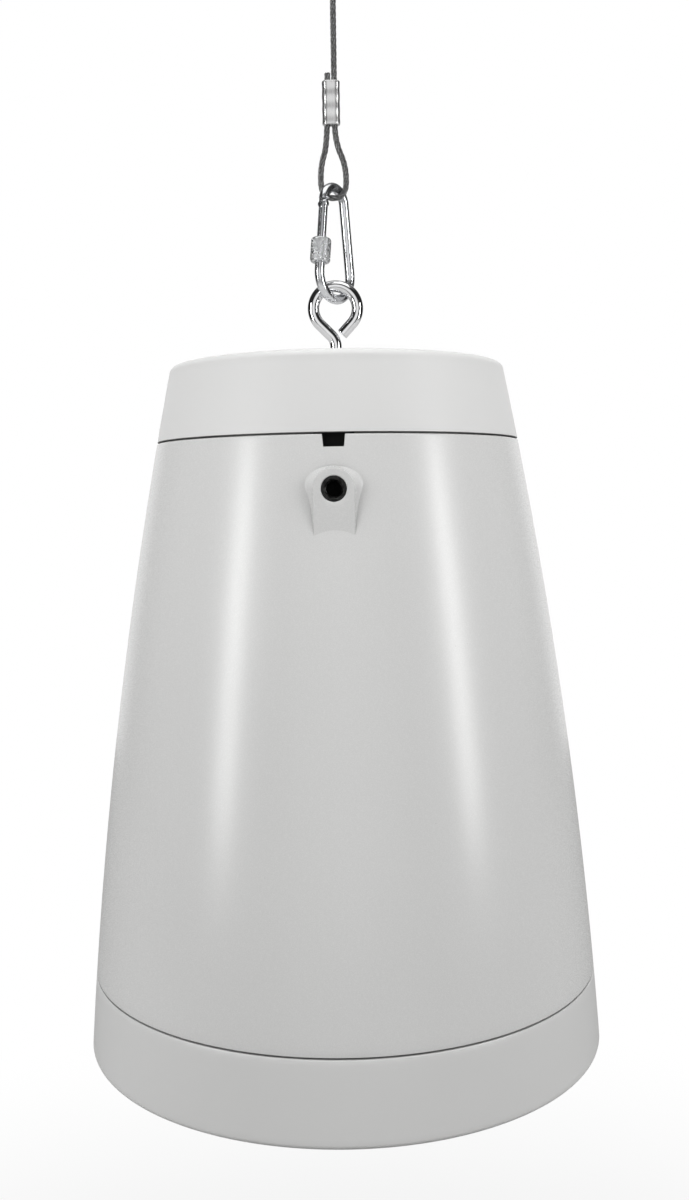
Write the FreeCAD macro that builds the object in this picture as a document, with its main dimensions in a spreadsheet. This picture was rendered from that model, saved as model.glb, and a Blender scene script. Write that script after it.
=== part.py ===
import FreeCAD, Part

import math
import os

import Sketcher

# A pendant ceiling speaker: a tapered moulded housing with a cap and a grille ring, hung by its
# eye bolt from a screw-lock carabiner on a wire rope, with a coaxial driver inside.
# Millimetres and degrees. Heights are measured up from the seam between housing and grille ring.
# The front, with the cable notch and the side boss, faces -Y. The finished part's origin is where
# the rope's upper loop rests on its hook, so every sub-part is placed lower by that height.

DIMENSIONS = {
    # Outer skin
    "seam_radius": 128.0,
    "flank_bend": 2560.0,
    "flank_widest": -222.0,
    "cap_seam_height": 265.4,
    "cap_rise": 37.8,
    "ring_depth": 39.1,
    "seam_gap": 0.8,
    "wall": 3.0,
    "bite": 1.0,
    # Cap
    "cap_edge_round": 4.0,
    "stem_hole_radius": 5.5,
    "cap_lip_height": 4.0,
    "cap_lip_thickness": 2.0,
    "cap_lip_clearance": 0.3,
    "cap_screw_circle": 62.0,
    "cap_screw_count": 3,
    "cap_screw_angle": 90.0,
    "cap_well_radius": 4.2,
    "cap_post_radius": 6.5,
    "cap_post_rise": 10.0,
    "cap_post_floor": 3.0,
    "cap_rib_thickness": 1.6,
    "cap_rib_depth": 6.0,
    "cap_screw_length": 12.0,
    # Housing
    "deck_drop": 11.4,
    "deck_thickness": 3.0,
    "deck_seat_width": 3.0,
    "deck_seat_thickness": 3.0,
    "deck_clearance": 0.3,
    "ledge_inner_radius": 106.0,
    "ledge_thickness": 4.0,
    "wall_knee": 128.0,
    "rib_count": 6,
    "rib_thickness": 2.0,
    "rib_depth": 5.0,
    "notch_width": 10.3,
    "notch_foot_width": 9.2,
    "notch_depth": 5.6,
    "pilot_radius": 1.6,
    "pilot_depth": 9.0,
    "post_radius": 4.5,
    # Side boss with the safety insert
    "boss_drop": 24.4,
    "boss_half_width": 9.1,
    "boss_skirt": 18.0,
    "boss_root": 3.0,
    "boss_flare": 7.8,
    "boss_top_flare": 1.2,
    "boss_depth": 7.0,
    "boss_core_radius": 8.0,
    "boss_core_length": 20.0,
    "recess_radius": 5.65,
    "recess_depth": 1.5,
    "insert_radius": 4.75,
    "insert_bore": 3.4,
    "insert_length": 14.0,
    # Hanging plate and eye bolt
    "plate_length": 124.0,
    "plate_width": 34.0,
    "plate_thickness": 3.0,
    "plate_standoff": 8.0,
    "plate_hole_span": 108.0,
    "plate_hole_pitch": 20.0,
    "plate_screw_length": 12.0,
    "rod_radius": 3.0,
    "eye_rise": 29.4,
    "eye_radius": 11.1,
    "eye_shoulder_bend": 8.0,
    "eye_gap_angle": 50.0,
    "eye_tail": 3.2,
    "stem_spare": 0.6,
    "washer_radius": 9.0,
    "washer_thickness": 1.6,
    "nut_half_width": 5.0,
    "nut_thickness": 5.0,
    # Carabiner
    "hook_turn": 52.0,
    "hook_wire": 2.5,
    "hook_length": 60.0,
    "hook_top_bend": 8.0,
    "hook_foot_bend": 12.1,
    "link_gap": 1.0,
    "pivot_drop": 2.2,
    "tongue_thickness": 2.0,
    "tongue_reach": 2.4,
    "fork_clearance": 0.15,
    "gate_radius": 2.3,
    "gate_length": 22.6,
    "nose_gap": 0.4,
    "rivet_radius": 0.9,
    "rivet_head_radius": 1.5,
    "rivet_head_height": 0.5,
    "sleeve_radius": 5.1,
    "sleeve_bore": 2.75,
    "sleeve_length": 11.8,
    "sleeve_start": 17.4,
    "sleeve_grooves": 18,
    "sleeve_groove_depth": 0.45,
    # Wire rope
    "rope_radius": 1.5,
    "rope_pair_pitch": 3.3,
    "rope_line": 1.0,
    "loop_clearance": 1.0,
    "lower_ferrule_rise": 27.9,
    "ferrule_spacing": 74.4,
    "ferrule_length": 21.6,
    "ferrule_wall": 1.35,
    "ferrule_clearance": 0.05,
    "upper_loop_rise": 59.0,
    "loop_half_width": 6.6,
    "loop_foot_half_width": 6.0,
    "loop_shoulder": 15.0,
    "loop_neck": 7.6,
    "upper_loop_half_width": 7.6,
    "upper_loop_top_half_width": 6.2,
    "upper_loop_shoulder": 18.0,
    "rope_stub": 3.8,
    # Terminal block
    "terminal_offset": 55.0,
    "terminal_width": 46.0,
    "terminal_depth": 16.0,
    "terminal_height": 14.0,
    "terminal_poles": 4,
    "terminal_pitch": 9.5,
    "terminal_entry_radius": 2.4,
    "terminal_screw_radius": 2.1,
    "terminal_slot": 0.8,
    "terminal_foot_span": 39.2,
    "terminal_foot_head": 2.6,
    # Tap switch
    "switch_x": 38.0,
    "switch_y": 40.0,
    "switch_radius": 13.0,
    "switch_depth": 18.0,
    "bushing_radius": 4.8,
    "bushing_height": 7.0,
    "shaft_radius": 3.0,
    "shaft_height": 17.0,
    "knob_radius": 11.0,
    "knob_height": 12.0,
    "knob_foot": 8.4,
    "knob_clearance": 0.05,
    "knob_flutes": 12,
    # Transformer
    "core_width": 57.0,
    "core_depth": 24.0,
    "core_height": 48.0,
    "core_window_width": 9.5,
    "core_window_height": 28.5,
    "coil_depth": 42.0,
    "bracket_thickness": 1.2,
    "bracket_ear": 12.0,
    "bracket_boss": 6.0,
    # Crossover
    "board_x": -20.0,
    "board_y": 47.0,
    "board_width": 60.0,
    "board_depth": 34.0,
    "board_post_span": 48.0,
    "board_post_y": 60.0,
    "board_thickness": 1.6,
    "board_post": 9.0,
    "inductor_x": -36.0,
    "inductor_y": 42.0,
    "inductor_radius": 12.0,
    "inductor_height": 11.0,
    "treble_inductor_x": -13.0,
    "treble_inductor_y": 40.0,
    "treble_inductor_radius": 8.5,
    "capacitor_radius": 5.0,
    "capacitor_x": 3.0,
    "capacitor_y": 31.0,
    "capacitor_length": 24.0,
    "treble_capacitor_x": -26.0,
    "treble_capacitor_y": 55.5,
    "treble_capacitor_length": 20.0,
    # Baffle and gasket
    "baffle_seat": 4.0,
    "gasket_thickness": 1.0,
    "baffle_thickness": 4.0,
    "baffle_clearance": 0.6,
    "cutout_radius": 72.0,
    "baffle_rib_height": 6.0,
    "baffle_screw_circle": 111.0,
    "baffle_screw_count": 6,
    "baffle_screw_angle": 30.0,
    "port_circle": 95.5,
    "port_count": 4,
    "port_radius": 9.0,
    "port_bore": 7.4,
    "port_length": 58.0,
    "port_lip": 2.0,
    # Driver
    "flange_radius": 83.0,
    "flange_inner_radius": 67.0,
    "flange_thickness": 2.0,
    "basket_wall": 1.6,
    "basket_step_radius": 41.0,
    "basket_step_height": 19.0,
    "basket_seat_radius": 37.0,
    "basket_seat_height": 33.0,
    "basket_windows": 6,
    "basket_spoke_width": 12.0,
    "driver_screw_circle": 78.6,
    "driver_screw_count": 6,
    "magnet_radius": 45.0,
    "magnet_bore": 22.0,
    "magnet_thickness": 16.0,
    "pole_plate_radius": 42.0,
    "pole_plate_thickness": 5.0,
    "pole_radius": 12.2,
    "coil_gap": 0.45,
    "former_thickness": 0.5,
    "winding_thickness": 0.5,
    "winding_length": 11.0,
    "cone_apex_height": 13.5,
    "cone_knee_radius": 30.0,
    "cone_knee_height": 3.5,
    "cone_rim_radius": 52.0,
    "cone_rim_height": -4.2,
    "cone_thickness": 0.9,
    "roll_radius": 6.6,
    "roll_crown": 3.2,
    "dust_cap_rise": 4.5,
    "dust_cap_crown": 8.0,
    "spider_thickness": 0.8,
    "spider_wave": 2.2,
    "spider_waves": 2,
    "trim_gasket_inner": 69.2,
    "trim_gasket_outer": 73.5,
    "trim_gasket_thickness": 2.0,
    # Tweeter on its bridge
    "bridge_arms": 3,
    "bridge_arm_width": 12.0,
    "bridge_turn": 30.0,
    "bridge_front": -22.0,
    "bridge_thickness": 3.0,
    "bridge_foot_inner": 74.6,
    "tweeter_radius": 21.0,
    "tweeter_depth": 11.0,
    "tweeter_magnet_radius": 14.0,
    "tweeter_magnet_height": 7.0,
    "tweeter_dome_radius": 12.5,
    "tweeter_dome_rise": 5.5,
    # Grille ring, grille and its cloth
    "ring_flange_inner": 117.5,
    "ring_flange_thickness": 3.0,
    "ring_screw_circle": 121.0,
    "ring_screw_count": 4,
    "ring_lip_inner": 119.0,
    "ring_lip_thickness": 2.4,
    "ring_edge_round": 2.5,
    "grille_thickness": 1.0,
    "grille_clearance": 0.4,
    "grille_hole": 8.6,
    "grille_pitch": 18.6,
    "grille_field_radius": 112.0,
    "cloth_thickness": 0.8,
    # Fasteners
    "screw_radius": 1.5,
    "screw_head_radius": 3.2,
    "screw_head_height": 2.2,
    "screw_drive": 1.5,
    "screw_clearance": 0.3,
    "screw_grip": 8.0,
    # Damping wadding
    "wadding_thickness": 9.0,
    "wadding_foot": 60.0,
    "wadding_drop": 61.0,
    "wadding_clearance": 1.5,
}


class Size:
    """A number together with the sheet expression that gives it."""

    def __init__(self, value, text):
        self.value = value
        self.text = text

    def __add__(self, other):
        other = size(other)
        return Size(self.value + other.value, f"({self.text} + {other.text})")

    def __sub__(self, other):
        other = size(other)
        return Size(self.value - other.value, f"({self.text} - {other.text})")

    def __mul__(self, other):
        other = size(other)
        return Size(self.value * other.value, f"({self.text} * {other.text})")

    def __truediv__(self, other):
        other = size(other)
        return Size(self.value / other.value, f"({self.text} / {other.text})")

    def __neg__(self):
        return Size(-self.value, f"(-{self.text})")

    def __radd__(self, other):
        return size(other) + self

    def __rsub__(self, other):
        return size(other) - self

    def __rmul__(self, other):
        return size(other) * self


def size(number):
    """The number itself if it is a Size already, or else a fixed one."""
    if isinstance(number, Size):
        return number
    return Size(float(number), f"({float(number)})")


def root(number):
    return Size(math.sqrt(number.value), f"sqrt({number.text})")


def cosine(angle):
    angle = size(angle)
    return Size(math.cos(math.radians(angle.value)), f"cos({angle.text})")


def sine(angle):
    angle = size(angle)
    return Size(math.sin(math.radians(angle.value)), f"sin({angle.text})")


class Sheet:
    """The driving dimensions, each a Size under its own name."""

    def __init__(self, document, cells):
        page = document.addObject("Spreadsheet::Sheet", "Dimensions")
        for row, (alias, value) in enumerate(cells.items(), 1):
            page.set(f"A{row}", alias)
            page.set(f"B{row}", str(value))
            page.setAlias(f"B{row}", alias)
            setattr(self, alias, Size(float(value), f"Dimensions.{alias}"))


doc = FreeCAD.newDocument("ceiling_speaker")
d = Sheet(doc, DIMENSIONS)
doc.recompute()

COS_30 = math.cos(math.radians(30))
COS_45 = math.cos(math.radians(45))
parts = {}


def bind(thing, path, value):
    """Ties one property of a feature to the sheet."""
    thing.setExpression(path, size(value).text)


def flank(height):
    """Outer radius at a height: a long shallow arc through both seams."""
    height = size(height)
    rise = height - d.flank_widest
    at_seam = root(d.flank_bend * d.flank_bend - d.flank_widest * d.flank_widest)
    return d.seam_radius - at_seam + root(d.flank_bend * d.flank_bend - rise * rise)


# Heights that follow from one another, from the cap up to where the upper loop rests on its hook.

cap_top_height = d.cap_seam_height + d.cap_rise
deck_height = d.cap_seam_height - d.deck_drop
cap_post_foot = deck_height + d.cap_post_rise
plate_foot = deck_height + d.plate_standoff
plate_top = plate_foot + d.plate_thickness
stem_end_height = plate_foot - d.washer_thickness - d.nut_thickness - d.stem_spare
boss_height = d.cap_seam_height - d.boss_drop
boss_foot_height = boss_height - d.boss_skirt
eye_centre_height = cap_top_height + d.eye_rise
hook_foot = eye_centre_height + d.eye_radius - d.rod_radius - d.link_gap - d.hook_wire * 2
hook_top = hook_foot + d.hook_length
lower_ferrule_foot = hook_top + d.lower_ferrule_rise
upper_ferrule_foot = lower_ferrule_foot + d.ferrule_spacing
loop_top_height = upper_ferrule_foot + d.upper_loop_rise
hook_height = loop_top_height - d.rope_radius


def new_body(name):
    body = doc.addObject("PartDesign::Body", name)
    body.Label = name
    body.AllowCompound = True
    bind(body, "Placement.Base.z", -hook_height)
    parts[name] = body
    return body


def sketch_on(body, name, role="XZ_Plane", across=0, up=0, off=0):
    """A sketch on one of the body's own planes, with its origin moved by across, up and off."""
    sketch = body.newObject("Sketcher::SketchObject", name)
    plane = [feature for feature in body.Origin.OriginFeatures if feature.Role == role][0]
    sketch.AttachmentSupport = [(plane, "")]
    sketch.MapMode = "FlatFace"
    bind(sketch, "AttachmentOffset.Base.x", across)
    bind(sketch, "AttachmentOffset.Base.y", up)
    bind(sketch, "AttachmentOffset.Base.z", off)
    return sketch


def fix_point(sketch, geometry, point, x, y):
    """Holds a point of the sketch at x, y with two dimensions bound to the sheet."""
    for kind, value in (("DistanceX", size(x)), ("DistanceY", size(y))):
        rule = Sketcher.Constraint(kind, -1, 1, geometry, point, value.value)
        number = sketch.addConstraint(rule)
        bind(sketch, f"Constraints[{number}]", value)


def edge_between(here, there):
    """A line, or where a bend is given an arc of that radius, positive when it turns left."""
    start = FreeCAD.Vector(size(here[0]).value, size(here[1]).value, 0)
    end = FreeCAD.Vector(size(there[0]).value, size(there[1]).value, 0)
    if len(here) < 3:
        return Part.LineSegment(start, end), 1, 2
    bend = here[2].value
    chord = end - start
    left = FreeCAD.Vector(-chord.y, chord.x, 0).normalize()
    reach = math.sqrt(max(bend * bend - chord.Length * chord.Length / 4, 0))
    centre = (start + end) * 0.5 + left * math.copysign(reach, bend)
    circle = Part.Circle(centre, FreeCAD.Vector(0, 0, 1), abs(bend))
    first, last = (start, end) if bend > 0 else (end, start)
    from_angle = math.atan2(first.y - centre.y, first.x - centre.x)
    to_angle = math.atan2(last.y - centre.y, last.x - centre.x)
    arc = Part.ArcOfCircle(circle, from_angle, to_angle)
    return arc, (1 if bend > 0 else 2), (2 if bend > 0 else 1)


def outline(sketch, corners, closed=True):
    """Edges through the corners (x, y) or (x, y, bend), with every corner dimensioned."""
    following = corners[1:] + corners[:1] if closed else corners[1:]
    drawn = []
    for here, there in zip(corners, following):
        edge, first, last = edge_between(here, there)
        index = sketch.addGeometry(edge, False)
        drawn.append((index, first, last))
        if len(here) > 2:
            bend = here[2] if here[2].value > 0 else -here[2]
            number = sketch.addConstraint(Sketcher.Constraint("Radius", index, bend.value))
            bind(sketch, f"Constraints[{number}]", bend)
    joined = drawn[1:] + drawn[:1] if closed else drawn[1:]
    for (index, _, last), (after, first, _) in zip(drawn, joined):
        sketch.addConstraint(Sketcher.Constraint("Coincident", index, last, after, first))
    for (index, first, _), corner in zip(drawn, corners):
        fix_point(sketch, index, first, corner[0], corner[1])
    if not closed:
        fix_point(sketch, drawn[-1][0], drawn[-1][2], corners[-1][0], corners[-1][1])


def circle(sketch, x, y, radius):
    centre = FreeCAD.Vector(size(x).value, size(y).value, 0)
    shape = Part.Circle(centre, FreeCAD.Vector(0, 0, 1), size(radius).value)
    index = sketch.addGeometry(shape, False)
    number = sketch.addConstraint(Sketcher.Constraint("Radius", index, size(radius).value))
    bind(sketch, f"Constraints[{number}]", radius)
    fix_point(sketch, index, 3, x, y)


def rectangle(sketch, left, low, right, high):
    outline(sketch, [(left, low), (right, low), (right, high), (left, high)])


def hexagon(sketch, x, y, half_width):
    """A hexagon with two sides upright, half_width from its centre to each side."""
    half_side = half_width * math.tan(math.radians(30))
    outline(
        sketch,
        [
            (x + half_width, y - half_side),
            (x + half_width, y + half_side),
            (x, y + half_side * 2),
            (x - half_width, y + half_side),
            (x - half_width, y - half_side),
            (x, y - half_side * 2),
        ],
    )


def around(radius, count, first_angle=0.0):
    """Centres evenly spaced on a circle about the part's axis."""
    step = 360.0 / int(size(count).value)
    angles = [size(first_angle) + step * number for number in range(int(size(count).value))]
    return [(radius * cosine(angle), radius * sine(angle)) for angle in angles]


def revolve(body, name, corners):
    """Turns an outline in the XZ plane about the upright line through its sketch's origin."""
    sketch = sketch_on(body, f"{name}_profile")
    outline(sketch, corners)
    feature = body.newObject("PartDesign::Revolution", name)
    feature.Profile = sketch
    feature.ReferenceAxis = (sketch, ["V_Axis"])
    feature.Angle = 360
    body.Tip = feature
    return feature


def extrude(body, sketch, length, name, subtract=False, flip=False, both=False):
    """Adds along the sketch's normal or cuts against it; flip turns either round."""
    feature = body.newObject("PartDesign::Pocket" if subtract else "PartDesign::Pad", name)
    feature.Profile = sketch
    feature.Type = "Length"
    bind(feature, "Length", length)
    feature.Reversed = flip
    feature.Midplane = both
    body.Tip = feature
    return feature


def repeat(body, features, count, name):
    """Copies features round the body's own Z axis."""
    pattern = body.newObject("PartDesign::PolarPattern", name)
    axis = [feature for feature in body.Origin.OriginFeatures if feature.Role == "Z_Axis"][0]
    pattern.Originals = features
    pattern.Axis = (axis, [""])
    pattern.Angle = 360
    bind(pattern, "Occurrences", count)
    body.Tip = pattern
    return pattern


def plain_body(name, corners):
    """A part that is one revolved outline about the axis."""
    body = new_body(name)
    revolve(body, "turned", corners)
    return body


def screws(name, places, seat, length, up, head=None, height=None):
    """Pan-head screws with a hexagon drive: heads under the seat when they point up."""
    body = new_body(name)
    head = d.screw_head_radius if head is None else head
    height = d.screw_head_height if height is None else height
    for number, (x, y) in enumerate(places):
        sketch = sketch_on(body, f"head_{number}", "XY_Plane", off=seat)
        circle(sketch, x, y, head)
        extrude(body, sketch, height, f"head_pad_{number}", flip=up)
    shanks = sketch_on(body, "shanks", "XY_Plane", off=seat)
    drives = sketch_on(body, "drives", "XY_Plane", off=seat - height if up else seat + height)
    for x, y in places:
        circle(shanks, x, y, d.screw_radius)
        hexagon(drives, x, y, d.screw_drive)
    extrude(body, shanks, length, "shank_pad", flip=not up)
    extrude(body, drives, height * 0.6, "drive_cut", subtract=True, flip=up)
    return body


# Moulded housing: tapered shell with a seat for the deck, a ledge for the baffle, inner ribs,
# the cable notch in its upper rim and the side boss that takes the safety insert.

housing_foot = d.seam_gap / 2
housing_top = d.cap_seam_height - d.seam_gap / 2
deck_under = deck_height - d.deck_thickness
deck_seat = deck_under - d.deck_seat_thickness
wadding_top = deck_under - d.wadding_drop
ledge_top = d.baffle_seat + d.ledge_thickness
plate_places = [
    (d.plate_hole_span / 2 * x_side, d.plate_hole_pitch / 2 * y_side)
    for x_side in (-1, 1)
    for y_side in (-1, 1)
]
cap_screw_places = around(d.cap_screw_circle, d.cap_screw_count, d.cap_screw_angle)
baffle_screw_places = around(d.baffle_screw_circle, d.baffle_screw_count, d.baffle_screw_angle)
ring_screw_places = around(d.ring_screw_circle, d.ring_screw_count, 45.0)
bracket_span = d.core_width + d.bracket_ear
bracket_places = [(-bracket_span / 2, size(0)), (bracket_span / 2, size(0))]
board_places = [(d.board_x + d.board_post_span / 2 * side, d.board_post_y) for side in (-1, 1)]
terminal_feet = [(d.terminal_foot_span / 2 * side, -d.terminal_offset) for side in (-1, 1)]
boss_face = flank(boss_foot_height)


def housing():
    body = new_body("housing")
    revolve(
        body,
        "shell",
        [
            (flank(housing_foot), housing_foot, d.flank_bend),
            (flank(housing_top), housing_top),
            (flank(housing_top) - d.wall, housing_top),
            (flank(deck_under) - d.wall, deck_under),
            (flank(deck_under) - d.wall - d.deck_seat_width, deck_under),
            (flank(deck_under) - d.wall - d.deck_seat_width, deck_seat),
            (flank(deck_seat) - d.wall, deck_seat),
            (flank(d.wall_knee) - d.wall, d.wall_knee),
            (flank(ledge_top) - d.wall, ledge_top),
            (d.ledge_inner_radius, ledge_top),
            (d.ledge_inner_radius, d.baffle_seat),
            (flank(d.baffle_seat) - d.wall, d.baffle_seat),
            (flank(d.baffle_seat) - d.wall, housing_foot),
        ],
    )
    rib = sketch_on(body, "rib_profile")
    outline(
        rib,
        [
            (flank(ledge_top) - d.wall - d.rib_depth, ledge_top - d.bite),
            (flank(ledge_top) - d.wall / 2, ledge_top - d.bite),
            (flank(d.wall_knee) - d.wall / 2, d.wall_knee),
            (flank(deck_under) - d.wall / 2, deck_under),
            (flank(deck_under) - d.wall - d.rib_depth, deck_under),
            (flank(d.wall_knee) - d.wall - d.rib_depth, d.wall_knee),
        ],
    )
    rib_pad = extrude(body, rib, d.rib_thickness, "rib", both=True)
    repeat(body, [rib_pad], d.rib_count, "ribs")
    side_boss(body)
    ledge_bosses(body)
    notch = sketch_on(body, "notch_outline", off=flank(housing_top) + d.wall)
    notch_foot = housing_top - d.notch_depth
    outline(
        notch,
        [
            (-d.notch_foot_width / 2, notch_foot),
            (d.notch_foot_width / 2, notch_foot),
            (d.notch_width / 2, housing_top),
            (d.notch_width / 2, housing_top + d.seam_gap),
            (-d.notch_width / 2, housing_top + d.seam_gap),
            (-d.notch_width / 2, housing_top),
        ],
    )
    extrude(body, notch, d.wall * 4, "notch", subtract=True)


def tombstone(sketch, half_width, foot, centre, rise):
    """An upright outline with a flat foot and a rounded head made of two arcs."""
    bend = (half_width * half_width + rise * rise) / (rise * 2)
    outline(
        sketch,
        [
            (-half_width, foot),
            (half_width, foot),
            (half_width, centre, bend),
            (0, centre + rise, bend),
            (-half_width, centre),
        ],
    )


def side_boss(body):
    """The upright flat-faced boss on the front, flared and run out into the flank, with its blind core."""
    back = boss_face - d.boss_depth
    face = sketch_on(body, "boss_face", off=boss_face)
    base = sketch_on(body, "boss_base", off=back)
    root_height = boss_foot_height - d.boss_root
    tombstone(face, d.boss_half_width, root_height, boss_height, d.boss_half_width)
    tombstone(
        base,
        d.boss_half_width + d.boss_flare,
        root_height,
        boss_height,
        d.boss_half_width + d.boss_top_flare,
    )
    loft = body.newObject("PartDesign::AdditiveLoft", "boss")
    loft.Profile = base
    loft.Sections = [face]
    loft.Ruled = True
    body.Tip = loft
    core = sketch_on(body, "core_outline", off=back + d.bite)
    circle(core, 0, boss_height, d.boss_core_radius)
    extrude(body, core, d.boss_core_length - d.boss_depth + d.bite, "core", flip=True)
    recess = sketch_on(body, "recess_outline", off=boss_face)
    circle(recess, 0, boss_height, d.recess_radius)
    extrude(body, recess, d.recess_depth, "recess", subtract=True)
    seat = sketch_on(body, "insert_seat_outline", off=boss_face)
    circle(seat, 0, boss_height, d.insert_radius)
    extrude(body, seat, d.recess_depth + d.insert_length, "insert_seat", subtract=True)


def ledge_bosses(body):
    """Bosses above the ledge for the baffle screws, and all the screw holes in the ledge."""
    bosses = sketch_on(body, "ledge_boss_outline", "XY_Plane", off=ledge_top - d.bite)
    holes = sketch_on(body, "ledge_hole_outline", "XY_Plane", off=d.baffle_seat)
    for x, y in baffle_screw_places:
        circle(bosses, x, y, d.post_radius)
        circle(holes, x, y, d.pilot_radius)
    for x, y in ring_screw_places:
        circle(bosses, x, y, d.post_radius * 0.9)
        circle(holes, x, y, d.pilot_radius)
    extrude(body, bosses, d.pilot_depth, "ledge_bosses")
    extrude(body, holes, d.pilot_depth, "ledge_holes", subtract=True, flip=True)


def deck():
    """Disc welded on the housing's inner seat, with posts on it for the plate and the cap, and
    under it for the parts that hang there."""
    body = new_body("deck")
    radius = flank(deck_height) - d.wall - d.deck_clearance
    corners = [(0, deck_under), (radius, deck_under), (radius, deck_height), (0, deck_height)]
    revolve(body, "disc", corners)
    posts = sketch_on(body, "plate_post_outline", "XY_Plane", off=deck_height - d.bite)
    cap_posts = sketch_on(body, "cap_post_outline", "XY_Plane", off=deck_height - d.bite)
    bracket_posts = sketch_on(body, "bracket_post_outline", "XY_Plane", off=deck_height - d.bite)
    under = sketch_on(body, "under_post_outline", "XY_Plane", off=deck_under + d.bite)
    feet = sketch_on(body, "terminal_post_outline", "XY_Plane", off=deck_under + d.bite)
    holes = sketch_on(body, "deck_hole_outline", "XY_Plane", off=cap_post_foot + d.bite)
    under_holes = sketch_on(body, "under_hole_outline", "XY_Plane", off=deck_under - d.board_post)
    bracket_holes = sketch_on(body, "bracket_hole_outline", "XY_Plane", off=deck_under)
    foot_holes = sketch_on(body, "foot_hole_outline", "XY_Plane", off=deck_height)
    switch_hole = sketch_on(body, "switch_hole_outline", "XY_Plane", off=deck_height)
    for x, y in plate_places:
        circle(posts, x, y, d.post_radius)
        circle(holes, x, y, d.pilot_radius)
    for x, y in cap_screw_places:
        circle(cap_posts, x, y, d.cap_post_radius)
        circle(holes, x, y, d.pilot_radius)
    for x, y in bracket_places:
        circle(bracket_posts, x, y, d.post_radius)
        circle(bracket_holes, x, y, d.pilot_radius)
    for x, y in board_places:
        circle(under, x, y, d.post_radius)
        circle(under_holes, x, y, d.pilot_radius)
    for x, y in terminal_feet:
        circle(feet, x, y, d.post_radius)
        circle(foot_holes, x, y, d.pilot_radius)
    circle(switch_hole, d.switch_x, d.switch_y, d.bushing_radius)
    extrude(body, posts, d.plate_standoff + d.bite, "plate_posts")
    extrude(body, cap_posts, cap_post_foot - deck_height + d.bite, "cap_posts")
    extrude(body, bracket_posts, d.bracket_boss + d.bite, "bracket_posts")
    extrude(body, under, d.board_post + d.bite, "board_posts", flip=True)
    extrude(body, feet, d.bracket_boss + d.bite, "terminal_posts", flip=True)
    deep = cap_post_foot - deck_height + d.deck_thickness
    extrude(body, holes, deep, "deck_holes", subtract=True)
    extrude(body, under_holes, d.board_post, "under_holes", subtract=True, flip=True)
    extrude(body, bracket_holes, d.screw_grip, "bracket_holes", subtract=True, flip=True)
    extrude(body, foot_holes, d.screw_grip, "foot_holes", subtract=True)
    extrude(body, switch_hole, d.deck_thickness, "switch_hole", subtract=True)


# Cap: the same flank carried on to a flat top, with the stem hole, a lip that locates it in the
# housing, three deep screw wells and cross ribs under the top.

cap_foot = d.cap_seam_height + d.seam_gap / 2
cap_ceiling = cap_top_height - d.wall
lip_outer = flank(cap_foot) - d.wall - d.cap_lip_clearance
well_floor = cap_post_foot + d.cap_post_floor


def top_cap():
    body = new_body("top_cap")
    lip_foot = cap_foot - d.cap_lip_height
    shoulder = cap_top_height - d.cap_edge_round
    revolve(
        body,
        "shell",
        [
            (flank(cap_foot), cap_foot, d.flank_bend),
            (flank(shoulder), shoulder, d.cap_edge_round),
            (flank(shoulder) - d.cap_edge_round, cap_top_height),
            (d.stem_hole_radius, cap_top_height),
            (d.stem_hole_radius, cap_ceiling),
            (flank(cap_ceiling) - d.wall, cap_ceiling),
            (flank(cap_foot + d.wall) - d.wall, cap_foot + d.wall),
            (lip_outer - d.cap_lip_thickness, cap_foot + d.wall),
            (lip_outer - d.cap_lip_thickness, lip_foot),
            (lip_outer, lip_foot),
            (lip_outer, cap_foot),
        ],
    )
    ribs = sketch_on(body, "rib_outline", "YZ_Plane")
    reach = flank(cap_ceiling) - d.wall * 1.5
    rib_foot = cap_ceiling - d.cap_rib_depth
    for side in (-1, 1):
        near = d.stem_hole_radius * 2 * side
        far = reach * side
        rectangle(ribs, near, rib_foot, far, cap_ceiling + d.bite)
    extrude(body, ribs, d.cap_rib_thickness, "ribs", both=True)
    cross = sketch_on(body, "cross_outline")
    for side in (-1, 1):
        rectangle(cross, d.stem_hole_radius * 2 * side, rib_foot, reach * side, cap_ceiling + d.bite)
    extrude(body, cross, d.cap_rib_thickness, "cross_ribs", both=True)
    posts = sketch_on(body, "post_outline", "XY_Plane", off=cap_post_foot)
    wells = sketch_on(body, "well_outline", "XY_Plane", off=cap_top_height)
    holes = sketch_on(body, "hole_outline", "XY_Plane", off=cap_top_height)
    for x, y in cap_screw_places:
        circle(posts, x, y, d.cap_post_radius)
        circle(wells, x, y, d.cap_well_radius)
        circle(holes, x, y, d.screw_radius + d.screw_clearance)
    extrude(body, posts, cap_ceiling - cap_post_foot + d.bite, "posts")
    extrude(body, wells, cap_top_height - well_floor, "wells", subtract=True)
    extrude(body, holes, cap_top_height - cap_post_foot, "screw_holes", subtract=True)
    gap = sketch_on(body, "lip_gap_outline", off=lip_outer + d.bite)
    rectangle(gap, -d.notch_width, lip_foot - d.bite, d.notch_width, cap_foot)
    extrude(body, gap, d.cap_lip_thickness * 4, "lip_gap", subtract=True)


# Grille ring: the skin's lower 39 mm, with a flange that is screwed up through the baffle and an
# inward lip that the grille lies on.

ring_top = -d.seam_gap / 2
ring_foot = -d.ring_depth
baffle_front = d.baffle_seat - d.gasket_thickness - d.baffle_thickness
ring_flange_under = baffle_front - d.ring_flange_thickness
ring_heel = ring_foot + d.ring_edge_round
lip_top = ring_foot + d.ring_lip_thickness


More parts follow.
